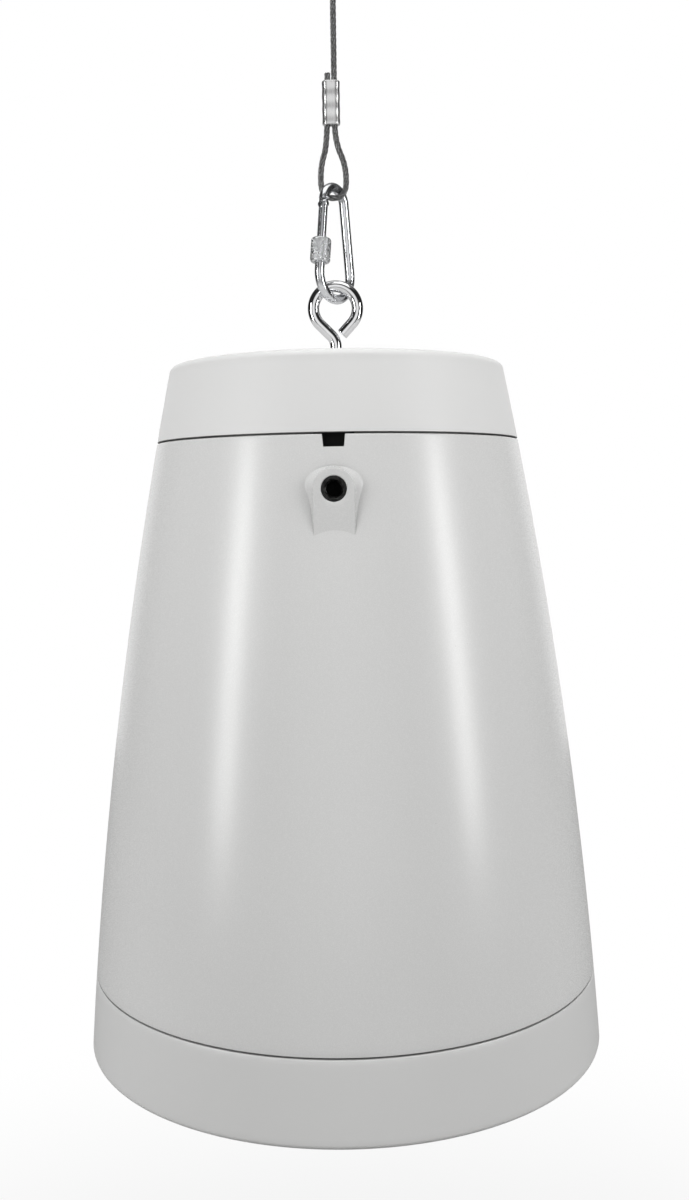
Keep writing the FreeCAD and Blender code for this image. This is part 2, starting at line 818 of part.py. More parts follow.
def grille_ring():
    body = new_body("grille_ring")
    revolve(
        body,
        "shell",
        [
            (d.ring_lip_inner, ring_foot),
            (flank(ring_heel) - d.ring_edge_round, ring_foot, d.ring_edge_round),
            (flank(ring_heel), ring_heel, d.flank_bend),
            (flank(ring_top), ring_top),
            (flank(baffle_front) - d.wall, ring_top),
            (flank(baffle_front) - d.wall, baffle_front),
            (d.ring_flange_inner, baffle_front),
            (d.ring_flange_inner, ring_flange_under),
            (flank(ring_flange_under) - d.wall, ring_flange_under),
            (flank(lip_top) - d.wall, lip_top),
            (d.ring_lip_inner, lip_top),
        ],
    )
    holes = sketch_on(body, "hole_outline", "XY_Plane", off=baffle_front + d.bite)
    for x, y in ring_screw_places:
        circle(holes, x, y, d.screw_radius + d.screw_clearance)
    extrude(body, holes, d.ring_flange_thickness + d.bite * 2, "screw_holes", subtract=True)


def grille():
    """Perforated steel disc: a field of hexagonal holes in staggered rows inside a plain rim."""
    rim = (flank(lip_top) - d.wall - d.grille_clearance).value
    flat_half = d.grille_hole.value / 2
    point = flat_half / COS_30
    pitch = d.grille_pitch.value
    field = d.grille_field_radius.value
    rows = int(field / (pitch * COS_30))
    holes = []
    for row in range(-rows, rows + 1):
        shift = pitch / 2 if row % 2 else 0
        steps = int(field / pitch) + 1
        for step in range(-steps, steps + 1):
            x = step * pitch + shift
            y = row * pitch * COS_30
            if math.hypot(x, y) + point <= field:
                corner_angles = [30 + 60 * number for number in range(7)]
                corners = [
                    FreeCAD.Vector(
                        x + point * math.cos(math.radians(angle)),
                        y + point * math.sin(math.radians(angle)),
                        0,
                    )
                    for angle in corner_angles
                ]
                holes.append(Part.makePolygon(corners))
    edge = Part.Wire(Part.makeCircle(rim))
    sheet_face = Part.Face([edge] + holes, "Part::FaceMakerBullseye")
    feature = doc.addObject("Part::Feature", "grille")
    feature.Label = "grille"
    feature.Shape = sheet_face.extrude(FreeCAD.Vector(0, 0, d.grille_thickness.value))
    bind(feature, "Placement.Base.z", lip_top - hook_height)
    parts["grille"] = feature


def grille_cloth():
    top = lip_top + d.grille_thickness
    body = new_body("grille_cloth")
    disc = sketch_on(body, "disc_outline", "XY_Plane", off=top)
    circle(disc, 0, 0, flank(lip_top) - d.wall - d.grille_clearance * 3)
    extrude(body, disc, d.cloth_thickness, "disc")


# Baffle: the moulded disc that carries the driver and ports, sealed to the housing's ledge.

baffle_back = baffle_front + d.baffle_thickness
baffle_radius = flank(d.baffle_seat) - d.wall - d.baffle_clearance
port_places = around(d.port_circle, d.port_count, 0.0)
driver_screw_places = around(d.driver_screw_circle, d.driver_screw_count, 30.0)


def baffle():
    body = new_body("baffle")
    revolve(
        body,
        "disc",
        [
            (d.cutout_radius, baffle_front),
            (baffle_radius, baffle_front),
            (baffle_radius, baffle_back),
            (d.cutout_radius + d.wall, baffle_back),
            (d.cutout_radius + d.wall, baffle_back + d.baffle_rib_height),
            (d.cutout_radius, baffle_back + d.baffle_rib_height),
        ],
    )
    clear = sketch_on(body, "clear_hole_outline", "XY_Plane", off=baffle_back)
    for x, y in baffle_screw_places + ring_screw_places:
        circle(clear, x, y, d.screw_radius + d.screw_clearance)
    for x, y in port_places:
        circle(clear, x, y, d.port_radius)
    extrude(body, clear, d.baffle_thickness, "clear_holes", subtract=True)
    bosses = sketch_on(body, "driver_boss_outline", "XY_Plane", off=baffle_back - d.bite)
    pilots = sketch_on(body, "pilot_outline", "XY_Plane", off=baffle_front)
    for x, y in driver_screw_places:
        circle(bosses, x, y, d.post_radius)
        circle(pilots, x, y, d.pilot_radius)
    extrude(body, bosses, d.baffle_rib_height + d.bite, "driver_bosses")
    extrude(body, pilots, d.pilot_depth, "pilots", subtract=True, flip=True)


def baffle_gasket():
    body = new_body("baffle_gasket")
    ring = sketch_on(body, "ring_outline", "XY_Plane", off=baffle_back)
    circle(ring, 0, 0, d.ledge_inner_radius + d.wall / 2)
    circle(ring, 0, 0, baffle_radius)
    holes = baffle_screw_places + ring_screw_places
    extrude(body, ring, d.gasket_thickness, "ring")
    clear = sketch_on(body, "hole_outline", "XY_Plane", off=d.baffle_seat)
    for x, y in holes:
        circle(clear, x, y, d.screw_radius + d.screw_clearance)
    extrude(body, clear, d.gasket_thickness, "holes", subtract=True)


def port_tubes():
    """Four short tuning ports, each with a rounded lip on the baffle's front."""
    body = new_body("port_tubes")
    for number, (x, y) in enumerate(port_places):
        tube = sketch_on(body, f"tube_{number}", "XY_Plane", off=baffle_front)
        circle(tube, x, y, d.port_radius)
        extrude(body, tube, d.port_length, f"tube_pad_{number}")
        lip = sketch_on(body, f"lip_{number}", "XY_Plane", off=baffle_front)
        circle(lip, x, y, d.port_radius + d.port_lip)
        extrude(body, lip, d.port_lip, f"lip_pad_{number}", flip=True)
        bore = sketch_on(body, f"bore_{number}", "XY_Plane", off=baffle_front - d.port_lip)
        circle(bore, x, y, d.port_bore)
        extrude(body, bore, d.port_length + d.port_lip, f"bore_cut_{number}", subtract=True, flip=True)


# Driver: pressed basket, magnet system, paper cone on a rubber roll and a cloth spider.

flange_front = baffle_front - d.flange_thickness
seat_height = d.basket_seat_height
top_plate_top = seat_height + d.pole_plate_thickness
magnet_top = top_plate_top + d.magnet_thickness
gap_inner = d.pole_radius
former_inner = gap_inner + d.coil_gap
former_outer = former_inner + d.former_thickness
winding_outer = former_outer + d.winding_thickness
gap_outer = winding_outer + d.coil_gap


def basket():
    """Pressed steel chassis: flat flange, windowed cone, step for the spider, magnet seat."""
    body = new_body("basket")
    thick = d.basket_wall
    revolve(
        body,
        "pressing",
        [
            (d.flange_inner_radius, flange_front),
            (d.flange_radius, flange_front),
            (d.flange_radius, baffle_front),
            (d.flange_inner_radius + thick, baffle_front),
            (d.basket_step_radius + thick, d.basket_step_height),
            (d.basket_step_radius + thick, d.basket_step_height + thick),
            (d.basket_seat_radius + thick, d.basket_step_height + thick),
            (d.basket_seat_radius + thick, seat_height),
            (gap_outer + d.wall, seat_height),
            (gap_outer + d.wall, seat_height - thick),
            (d.basket_seat_radius, seat_height - thick),
            (d.basket_seat_radius, d.basket_step_height),
            (d.basket_step_radius - d.wall / 2, d.basket_step_height),
            (d.flange_inner_radius - thick, baffle_front),
        ],
    )
    holes = sketch_on(body, "screw_hole_outline", "XY_Plane", off=baffle_front)
    for x, y in driver_screw_places:
        circle(holes, x, y, d.screw_radius + d.screw_clearance)
    extrude(body, holes, d.flange_thickness, "screw_holes", subtract=True)
    window = sketch_on(body, "window_outline", "YZ_Plane", off=d.basket_step_radius / 2)
    window_half = d.basket_seat_radius / 2
    window_foot = baffle_front + d.wall
    window_top = d.basket_step_height - d.wall
    low_half = window_half + d.basket_spoke_width
    outline(
        window,
        [
            (-low_half, window_foot),
            (low_half, window_foot),
            (window_half, window_top),
            (-window_half, window_top),
        ],
    )
    cut = extrude(body, window, d.flange_radius, "window", subtract=True, flip=True)
    repeat(body, [cut], d.basket_windows, "windows")


def top_plate():
    plain_body(
        "top_plate",
        [
            (gap_outer, seat_height),
            (d.pole_plate_radius, seat_height),
            (d.pole_plate_radius, top_plate_top),
            (gap_outer, top_plate_top),
        ],
    )


def magnet():
    plain_body(
        "magnet",
        [
            (d.magnet_bore, top_plate_top),
            (d.magnet_radius, top_plate_top),
            (d.magnet_radius, magnet_top),
            (d.magnet_bore, magnet_top),
        ],
    )


def pole_piece():
    """T-yoke: the back plate turned in one with the pole that fills the coil's bore."""
    vent = d.pole_radius / 3
    plain_body(
        "pole_piece",
        [
            (vent, seat_height - d.wall),
            (gap_inner, seat_height - d.wall),
            (gap_inner, magnet_top),
            (d.pole_plate_radius, magnet_top),
            (d.pole_plate_radius, magnet_top + d.pole_plate_thickness),
            (vent, magnet_top + d.pole_plate_thickness),
        ],
    )


def voice_coil():
    middle = seat_height + d.pole_plate_thickness / 2
    low = middle - d.winding_length / 2
    high = middle + d.winding_length / 2
    plain_body(
        "voice_coil",
        [
            (former_inner, d.cone_apex_height),
            (former_outer, d.cone_apex_height),
            (former_outer, low),
            (winding_outer, low),
            (winding_outer, high),
            (former_inner, high),
        ],
    )


def cone():
    """Flared paper cone from the coil former out to the roll."""
    thick = d.cone_thickness
    plain_body(
        "cone",
        [
            (former_outer, d.cone_apex_height + thick * 2),
            (former_outer, d.cone_apex_height),
            (d.cone_knee_radius, d.cone_knee_height),
            (d.cone_rim_radius, d.cone_rim_height),
            (d.cone_rim_radius + d.wall, d.cone_rim_height),
            (d.cone_rim_radius + d.wall, d.cone_rim_height + thick),
            (d.cone_rim_radius, d.cone_rim_height + thick),
            (d.cone_knee_radius, d.cone_knee_height + thick),
        ],
    )


def surround():
    """Half-roll rubber edge, glued under the cone's rim and on the flange's front."""
    roll = d.roll_radius
    thick = d.cone_thickness
    lip = d.trim_gasket_outer
    inner = d.cone_rim_radius + d.wall
    middle = inner + roll
    outer = middle + roll
    base = flange_front
    crown = d.roll_crown
    foot = d.cone_rim_height - roll
    plain_body(
        "surround",
        [
            (d.cone_rim_radius, d.cone_rim_height - thick),
            (inner, d.cone_rim_height - thick),
            (middle - crown, foot - thick),
            (middle + crown, foot - thick),
            (outer, base - thick),
            (lip, base - thick),
            (lip, base),
            (outer - thick, base),
            (middle + crown - thick / 2, foot),
            (middle - crown + thick / 2, foot),
            (inner + thick, d.cone_rim_height),
            (d.cone_rim_radius, d.cone_rim_height),
        ],
    )


def dust_cap():
    """Shallow dome glued inside the cone's throat."""
    rise = d.dust_cap_rise
    reach = former_inner + d.wall
    foot = d.cone_apex_height - d.wall
    crown = d.dust_cap_crown
    thick = d.cone_thickness
    plain_body(
        "dust_cap",
        [
            (0, foot - rise),
            (crown, foot - rise * 0.75),
            (reach, foot),
            (reach, foot + thick),
            (crown, foot - rise * 0.75 + thick),
            (0, foot - rise + thick),
        ],
    )


def spider():
    """Corrugated centring disc between the coil former and the basket's step."""
    height = d.basket_step_height
    count = int(d.spider_waves.value)
    first = former_outer
    last = d.basket_step_radius - d.wall / 2
    step = (last - first) / (count * 2)
    low_edge = []
    high_edge = []
    for number in range(count * 2 + 1):
        radius = first + step * number
        wave = d.spider_wave / 2 if number % 2 else -d.spider_wave / 2
        level = height - d.spider_wave + wave
        if number == count * 2:
            level = height - d.spider_thickness
        low_edge.append((radius, level))
        high_edge.append((radius, level + d.spider_thickness))
    plain_body("spider", low_edge + high_edge[::-1])


def trim_gasket():
    body = new_body("trim_gasket")
    front = flange_front - d.cone_thickness
    ring = sketch_on(body, "ring_outline", "XY_Plane", off=front)
    circle(ring, 0, 0, d.trim_gasket_inner)
    circle(ring, 0, 0, d.trim_gasket_outer)
    extrude(body, ring, d.trim_gasket_thickness, "ring", flip=True)


# Tweeter: a dome unit held over the cone by a three-armed moulded bridge.

bridge_back = d.bridge_front + d.bridge_thickness
bridge_places = around(d.driver_screw_circle, d.bridge_arms, d.bridge_turn)
plain_screw_places = around(d.driver_screw_circle, d.bridge_arms, 90.0)


def tweeter_bridge():
    body = new_body("tweeter_bridge")
    cup = d.tweeter_radius + d.wall
    revolve(
        body,
        "cup",
        [
            (d.tweeter_dome_radius + d.wall, d.bridge_front),
            (cup, d.bridge_front),
            (cup, d.bridge_front + d.tweeter_depth),
            (d.tweeter_radius, d.bridge_front + d.tweeter_depth),
            (d.tweeter_radius, bridge_back),
            (d.tweeter_dome_radius + d.wall, bridge_back),
        ],
    )
    arm = sketch_on(body, "arm_outline")
    outer = d.flange_radius - d.wall / 3
    outline(
        arm,
        [
            (d.tweeter_radius + d.wall / 2, d.bridge_front),
            (d.bridge_foot_inner - d.wall, d.bridge_front),
            (outer, d.bridge_front + d.wall * 2),
            (outer, flange_front),
            (d.bridge_foot_inner, flange_front),
            (d.bridge_foot_inner, bridge_back + d.wall),
            (d.bridge_foot_inner - d.wall, bridge_back),
            (d.tweeter_radius + d.wall / 2, bridge_back),
        ],
    )
    arm_pad = extrude(body, arm, d.bridge_arm_width, "arm", both=True)
    well = sketch_on(body, "well_outline", "XY_Plane", off=flange_front - d.bridge_thickness)
    circle(well, d.driver_screw_circle, 0, d.screw_head_radius + d.screw_clearance)
    well_cut = extrude(body, well, d.ring_depth, "well", subtract=True)
    hole = sketch_on(body, "hole_outline", "XY_Plane", off=flange_front)
    circle(hole, d.driver_screw_circle, 0, d.screw_radius + d.screw_clearance)
    hole_cut = extrude(body, hole, d.ring_depth, "hole", subtract=True)
    repeat(body, [arm_pad, well_cut, hole_cut], d.bridge_arms, "arms")
    bind(body, "Placement.Rotation.Yaw", d.bridge_turn)


def tweeter_body():
    """Face plate with a shallow horn, dropped into the bridge's cup from behind."""
    back = d.bridge_front + d.tweeter_depth
    plain_body(
        "tweeter_body",
        [
            (d.tweeter_dome_radius, bridge_back),
            (d.tweeter_radius - d.cap_lip_clearance, bridge_back),
            (d.tweeter_radius - d.cap_lip_clearance, back),
            (0, back),
            (0, back - d.wall),
            (d.tweeter_dome_radius, back - d.wall),
        ],
    )


def tweeter_dome():
    """Silk dome, bulging to the front."""
    rise = d.tweeter_dome_rise
    reach = d.tweeter_dome_radius - d.cap_lip_clearance
    foot = d.bridge_front + d.tweeter_depth - d.wall
    plain_body(
        "tweeter_dome",
        [
            (0, foot - rise),
            (reach * 0.6, foot - rise * 0.8),
            (reach, foot),
            (0, foot),
        ],
    )


def tweeter_magnet():
    foot = d.bridge_front + d.tweeter_depth
    body = new_body("tweeter_magnet")
    disc = sketch_on(body, "disc_outline", "XY_Plane", off=foot)
    circle(disc, 0, 0, d.tweeter_magnet_radius)
    extrude(body, disc, d.tweeter_magnet_height, "disc")


# Hanging hardware: a steel plate on four posts takes the eye bolt and the whole weight.


def hanging_plate():
    body = new_body("hanging_plate")
    face = sketch_on(body, "plate_outline", "XY_Plane", off=plate_foot)
    half = d.plate_length / 2
    side = d.plate_width / 2
    corner = d.plate_width / 4
    outline(
        face,
        [
            (-half + corner, -side),
            (half - corner, -side, corner),
            (half, -side + corner),
            (half, side - corner, corner),
            (half - corner, side),
            (-half + corner, side, corner),
            (-half, side - corner),
            (-half, -side + corner, corner),
        ],
    )
    circle(face, 0, 0, d.rod_radius + d.screw_clearance)
    for x, y in plate_places:
        circle(face, x, y, d.screw_radius + d.screw_clearance)
    extrude(body, face, d.plate_thickness, "plate")


def eye_bolt():
    """Round rod bent to an open eye: stem, shoulder, ring clockwise over the top, cut tail."""
    body = new_body("eye_bolt")
    path = sketch_on(body, "path")
    centre = eye_centre_height
    ring = d.eye_radius
    shoulder = d.eye_shoulder_bend
    tangent = shoulder * math.tan(math.radians(22.5))
    meeting = centre - ring / COS_45
    outline(
        path,
        [
            (0, stem_end_height),
            (0, meeting - tangent, shoulder),
            (-tangent * COS_45, meeting + tangent * COS_45),
            (-ring * COS_45, centre - ring * COS_45, -ring),
            (0, centre + ring, -ring),
            (ring * cosine(d.eye_gap_angle), centre - ring * sine(d.eye_gap_angle)),
            (
                ring * cosine(d.eye_gap_angle) - d.eye_tail * sine(d.eye_gap_angle),
                centre - ring * sine(d.eye_gap_angle) - d.eye_tail * cosine(d.eye_gap_angle),
            ),
        ],
        closed=False,
    )
    rod = sketch_on(body, "rod_outline", "XY_Plane", off=stem_end_height)
    circle(rod, 0, 0, d.rod_radius)
    pipe = body.newObject("PartDesign::AdditivePipe", "rod")
    pipe.Profile = rod
    pipe.Spine = (path, [])
    pipe.Transition = "Right corner"
    body.Tip = pipe


def eye_washers():
    body = new_body("eye_washers")
    upper = sketch_on(body, "upper_outline", "XY_Plane", off=plate_top)
    lower = sketch_on(body, "lower_outline", "XY_Plane", off=plate_foot)
    for sketch in (upper, lower):
        circle(sketch, 0, 0, d.washer_radius)
        circle(sketch, 0, 0, d.rod_radius + d.screw_clearance)
    extrude(body, upper, d.washer_thickness, "upper")
    extrude(body, lower, d.washer_thickness, "lower", flip=True)


def eye_nuts():
    """One nut above the plate, and a lock nut below it."""
    body = new_body("eye_nuts")
    upper_foot = plate_top + d.washer_thickness
    lower_top = plate_foot - d.washer_thickness
    upper = sketch_on(body, "upper_outline", "XY_Plane", off=upper_foot)
    lower = sketch_on(body, "lower_outline", "XY_Plane", off=lower_top)
    for sketch in (upper, lower):
        hexagon(sketch, size(0), size(0), d.nut_half_width)
        circle(sketch, 0, 0, d.rod_radius)
    extrude(body, upper, d.nut_thickness, "upper")
    extrude(body, lower, d.nut_thickness, "lower", flip=True)


# Screw-lock carabiner: a pear of round wire, its gate hinged on a rivet near the narrow end and
# held shut by a knurled sleeve. It is modelled in its own upright plane and turned about Z.

foot_centre = hook_foot + d.hook_wire + d.hook_foot_bend
top_centre = hook_top - d.hook_wire - d.hook_top_bend
lean = (d.hook_foot_bend - d.hook_top_bend) / (top_centre - foot_centre)
upright = root(1 - lean * lean)
top_tangent = (d.hook_top_bend * upright, top_centre + d.hook_top_bend * lean)
foot_tangent = (d.hook_foot_bend * upright, foot_centre + d.hook_foot_bend * lean)
pivot = (
    -top_tangent[0] - d.pivot_drop * lean,
    top_tangent[1] - d.pivot_drop * upright,
)


def down_the_gate(distance):
    """The point on the gate's line at a distance below the pivot."""
    return pivot[0] - lean * distance, pivot[1] - upright * distance


def carabiner_body():
    body = new_body("carabiner_body")
    bind(body, "Placement.Rotation.Yaw", d.hook_turn)
    wire = sketch_on(body, "wire_outline", "YZ_Plane")
    circle(wire, 0, hook_foot + d.hook_wire, d.hook_wire)
    long_way = sketch_on(body, "spine_path")
    outline(
        long_way,
        [
            (0, hook_foot + d.hook_wire, d.hook_foot_bend),
            foot_tangent,
            (top_tangent[0], top_tangent[1], d.hook_top_bend),
            (0, hook_top - d.hook_wire, d.hook_top_bend),
            (-top_tangent[0], top_tangent[1]),
            down_the_gate(d.tongue_reach),
        ],
        closed=False,
    )
    nose_end = down_the_gate(d.gate_length + d.nose_gap)
    short_way = sketch_on(body, "nose_path")
    outline(
        short_way,
        [
            (0, hook_foot + d.hook_wire, -d.hook_foot_bend),
            (-foot_tangent[0], foot_tangent[1]),
            nose_end,
        ],
        closed=False,
    )
    for path, name in ((long_way, "spine"), (short_way, "nose")):
        pipe = body.newObject("PartDesign::AdditivePipe", name)
        pipe.Profile = wire
        pipe.Spine = (path, [])
        pipe.Transition = "Right corner"
        body.Tip = pipe
    half = d.tongue_thickness / 2
    reach = d.hook_wire * 1.3
    for side, off in (("front", half), ("back", -half - d.hook_wire * 2)):
        cheek = sketch_on(body, f"{side}_cheek_outline", off=off + d.hook_wire * 2)
        rectangle(
            cheek, pivot[0] - reach, pivot[1] - reach * 2, pivot[0] + reach, pivot[1] + reach * 0.9
        )
        extrude(body, cheek, d.hook_wire * 2, f"{side}_cheek", subtract=True)
    hole = sketch_on(body, "rivet_hole_outline")
    circle(hole, pivot[0], pivot[1], d.rivet_radius + d.knob_clearance)
    extrude(body, hole, d.hook_wire * 4, "rivet_hole", subtract=True, both=True)


def on_gate_line(body):
    """Sets a part made about its own Z axis on the gate's line, its origin at the pivot."""
    bind(body, "Placement.Base.x", pivot[0] * cosine(d.hook_turn))
    bind(body, "Placement.Base.y", pivot[0] * sine(d.hook_turn))
    bind(body, "Placement.Base.z", pivot[1] - hook_height)
    bind(body, "Placement.Rotation.Yaw", d.hook_turn)
    body.setExpression("Placement.Rotation.Pitch", f"asin({lean.text})")


def carabiner_gate():
    """Round gate with a fork that straddles the hook's tongue."""
    body = new_body("carabiner_gate")
    fork_top = d.tongue_reach
    revolve(
        body,
        "rod",
        [
            (0, -d.gate_length),
            (d.gate_radius, -d.gate_length),
            (d.gate_radius, fork_top),
            (0, fork_top),
        ],
    )
    slot = sketch_on(body, "slot_outline")
    rectangle(slot, -d.hook_wire * 2, -d.tongue_reach * 1.5, d.hook_wire * 2, fork_top + d.bite)
    width = d.tongue_thickness + d.fork_clearance * 2
    extrude(body, slot, width, "slot", subtract=True, both=True)
    hole = sketch_on(body, "rivet_hole_outline")
    circle(hole, 0, 0, d.rivet_radius + d.knob_clearance)
    extrude(body, hole, d.hook_wire * 4, "rivet_hole", subtract=True, both=True)
    on_gate_line(body)


def gate_rivet():
    body = new_body("gate_rivet")
    shank = sketch_on(body, "shank_outline")
    circle(shank, 0, 0, d.rivet_radius)
    extrude(body, shank, d.gate_radius * 2, "shank", both=True)
    for side, off in (("front", d.gate_radius), ("back", -d.gate_radius - d.rivet_head_height)):
        head = sketch_on(body, f"{side}_head_outline", off=off)
        circle(head, 0, 0, d.rivet_head_radius)
        extrude(body, head, d.rivet_head_height, f"{side}_head")
    on_gate_line(body)


def lock_sleeve():
    """Knurled nut round the gate; in this position it covers the joint between gate and nose."""
    body = new_body("lock_sleeve")
    top = -d.sleeve_start
    foot = top - d.sleeve_length
    bevel = d.sleeve_groove_depth * 2
    revolve(
        body,
        "nut",
        [
            (d.sleeve_bore, foot),
            (d.sleeve_radius - bevel, foot),
            (d.sleeve_radius, foot + bevel),
            (d.sleeve_radius, top - bevel),
            (d.sleeve_radius - bevel, top),
            (d.sleeve_bore, top),
        ],
    )
    groove = sketch_on(body, "groove_outline", "XY_Plane", off=top + d.bite)
    depth = d.sleeve_groove_depth
    outline(
        groove,
        [
            (d.sleeve_radius - depth, 0),
            (d.sleeve_radius + depth, -depth * 2),
            (d.sleeve_radius + depth, depth * 2),
        ],
    )
    cut = extrude(body, groove, d.sleeve_length + d.bite * 2, "groove", subtract=True)
    repeat(body, [cut], d.sleeve_grooves, "knurl")
    on_gate_line(body)


# Wire rope: one length with a swaged loop at each end. Its route runs from the lower stub through
# the carabiner's loop, straight up, and round the upper loop to the other stub.

rope_line = d.rope_line
stub_line = d.rope_line - d.rope_pair_pitch
cradle = hook_top - d.hook_wire * 2 - d.rope_radius - d.loop_clearance
lower_ferrule_top = lower_ferrule_foot + d.ferrule_length
upper_ferrule_top = upper_ferrule_foot + d.ferrule_length
upper_shoulder = loop_top_height - d.upper_loop_shoulder
ROPE_ROUTE = [
    (stub_line, lower_ferrule_top + d.rope_stub),
    (stub_line, lower_ferrule_foot - d.loop_neck),
    (-d.loop_half_width, cradle + d.loop_shoulder),
    (-d.loop_foot_half_width, cradle),
    (d.loop_foot_half_width, cradle),
    (d.loop_half_width, cradle + d.loop_shoulder),
    (rope_line, lower_ferrule_foot - d.loop_neck),
    (rope_line, upper_ferrule_top + d.loop_neck),
    (d.upper_loop_half_width, upper_shoulder),
    (d.upper_loop_top_half_width, loop_top_height),
    (-d.upper_loop_top_half_width, loop_top_height),
    (-d.upper_loop_half_width, upper_shoulder),
    (stub_line, upper_ferrule_top + d.loop_neck),
    (stub_line, upper_ferrule_foot - d.rope_stub),
]
BEND_SHARE = 0.45


def wire_rope():
    """A tube along straight runs joined by tangent arcs."""
    points = [FreeCAD.Vector(x.value, 0, z.value) for x, z in ROPE_ROUTE]
    edges = []
    radii = []
    last = points[0]
    for before, corner, after in zip(points, points[1:], points[2:]):
        inward = (before - corner).normalize()
        outward = (after - corner).normalize()
        turn = math.pi - inward.getAngle(outward)
        shorter = min((before - corner).Length, (after - corner).Length)
        reach = BEND_SHARE * shorter
        radius = reach / math.tan(turn / 2)
        radii.append(round(radius, 1))
        start = corner + inward * reach
        end = corner + outward * reach
        middle_way = (inward + outward).normalize()
        centre_gap = radius / math.cos(turn / 2)
        middle = corner + middle_way * (centre_gap - radius)
        edges.append(Part.LineSegment(last, start).toShape())
        edges.append(Part.Arc(start, middle, end).toShape())
        last = end
    edges.append(Part.LineSegment(last, points[-1]).toShape())
    route = Part.Wire(edges)
    section = Part.Wire(Part.makeCircle(d.rope_radius.value, points[0], points[1] - points[0]))
    tube = route.makePipeShell([section], True, False)
    expected = math.pi * d.rope_radius.value ** 2 * route.Length
    print("rope bends", radii, "length", round(route.Length, 1))
    print("rope volume share", round(tube.Volume / expected, 4))
    feature = doc.addObject("Part::Feature", "wire_rope")
    feature.Label = "wire_rope"
    feature.Shape = tube
    bind(feature, "Placement.Base.z", -hook_height)
    parts["wire_rope"] = feature


def stadium(sketch, radius, half_span):
    """A round-ended slot along X."""
    outline(
        sketch,
        [
            (-half_span, -radius),
            (half_span, -radius, radius),
            (half_span + radius, 0, radius),
            (half_span, radius),
            (-half_span, radius, radius),
            (-half_span - radius, 0, radius),
        ],
    )


def ferrule(name, foot):
    """Oval sleeve swaged over both runs of the rope."""
    body = new_body(name)
    bind(body, "Placement.Base.x", rope_line - d.rope_pair_pitch / 2)
    bore = d.rope_radius + d.ferrule_clearance
    sketch = sketch_on(body, "section", "XY_Plane", off=foot)
    stadium(sketch, bore + d.ferrule_wall, d.rope_pair_pitch / 2)
    stadium(sketch, bore, d.rope_pair_pitch / 2)
    extrude(body, sketch, d.ferrule_length, "sleeve")


# Terminal block and tap switch on the deck, under the cap.

terminal_foot = deck_height
terminal_y = -d.terminal_offset


def terminal_places():
    """The clamp screws, in one row a quarter of the block's depth in front of its middle."""
    count = int(d.terminal_poles.value)
    middle = (count - 1) / 2
    row = terminal_y - d.terminal_depth / 4
    return [(d.terminal_pitch * (number - middle), row) for number in range(count)]


def terminal_block():
    body = new_body("terminal_block")
    base = sketch_on(body, "base_outline", "XY_Plane", off=terminal_foot)
    half = d.terminal_width / 2
    deep = d.terminal_depth / 2
    rectangle(base, -half, terminal_y - deep, half, terminal_y + deep)
    extrude(body, base, d.terminal_height, "base")
    entries = sketch_on(body, "entry_outline", off=d.terminal_offset + deep)
    wells = sketch_on(body, "well_outline", "XY_Plane", off=terminal_foot + d.terminal_height)
    feet = sketch_on(body, "foot_hole_outline", "XY_Plane", off=terminal_foot + d.terminal_height)
    for x, y in terminal_feet:
        circle(feet, x, y, d.screw_radius + d.screw_clearance)
    for x, y in terminal_places():
        circle(entries, x, terminal_foot + d.terminal_height / 3, d.terminal_entry_radius)
        circle(wells, x, y, d.terminal_screw_radius + d.screw_clearance)
    extrude(body, entries, d.terminal_depth * 0.8, "entries", subtract=True)
    extrude(body, wells, d.terminal_height * 0.45, "wells", subtract=True)
    extrude(body, feet, d.terminal_height, "foot_holes", subtract=True)


def terminal_screws():
    """Slotted clamp screws sunk in the block's wells."""
    top = terminal_foot + d.terminal_height * 0.85
    length = d.terminal_height * 0.3
    body = new_body("terminal_screws")
    for number, (x, y) in enumerate(terminal_places()):
        sketch = sketch_on(body, f"screw_{number}", "XY_Plane", off=top)
        circle(sketch, x, y, d.terminal_screw_radius)
        extrude(body, sketch, length, f"screw_pad_{number}", flip=True)
    slots = sketch_on(body, "slots", "XY_Plane", off=top)
    for x, y in terminal_places():
        half = d.terminal_screw_radius + d.screw_clearance
        wide = d.terminal_slot / 2
        rectangle(slots, x - half, y - wide, x + half, y + wide)
    extrude(body, slots, d.terminal_slot, "slot_cuts", subtract=True)


def tap_switch():
    """Rotary switch: body under the deck, threaded bushing and shaft above it."""
    body = new_body("tap_switch")
    bushing = d.bushing_radius - d.screw_clearance / 3
    body_top = deck_under
    bushing_top = deck_height + d.bushing_height
    revolve(
        body,
        "turned",
        [
            (0, body_top - d.switch_depth),
            (d.switch_radius, body_top - d.switch_depth),
            (d.switch_radius, body_top),
            (bushing, body_top),
            (bushing, bushing_top),
            (d.shaft_radius, bushing_top),
            (d.shaft_radius, deck_height + d.shaft_height),
            (0, deck_height + d.shaft_height),
        ],
    )
    bind(body, "Placement.Base.x", d.switch_x)
    bind(body, "Placement.Base.y", d.switch_y)


def tap_switch_nut():
    body = new_body("tap_switch_nut")
    sketch = sketch_on(body, "outline", "XY_Plane", off=deck_height)
    hexagon(sketch, size(0), size(0), d.bushing_radius * 1.45)
    circle(sketch, 0, 0, d.bushing_radius)
    extrude(body, sketch, d.bushing_height * 0.4, "nut")
    bind(body, "Placement.Base.x", d.switch_x)
    bind(body, "Placement.Base.y", d.switch_y)


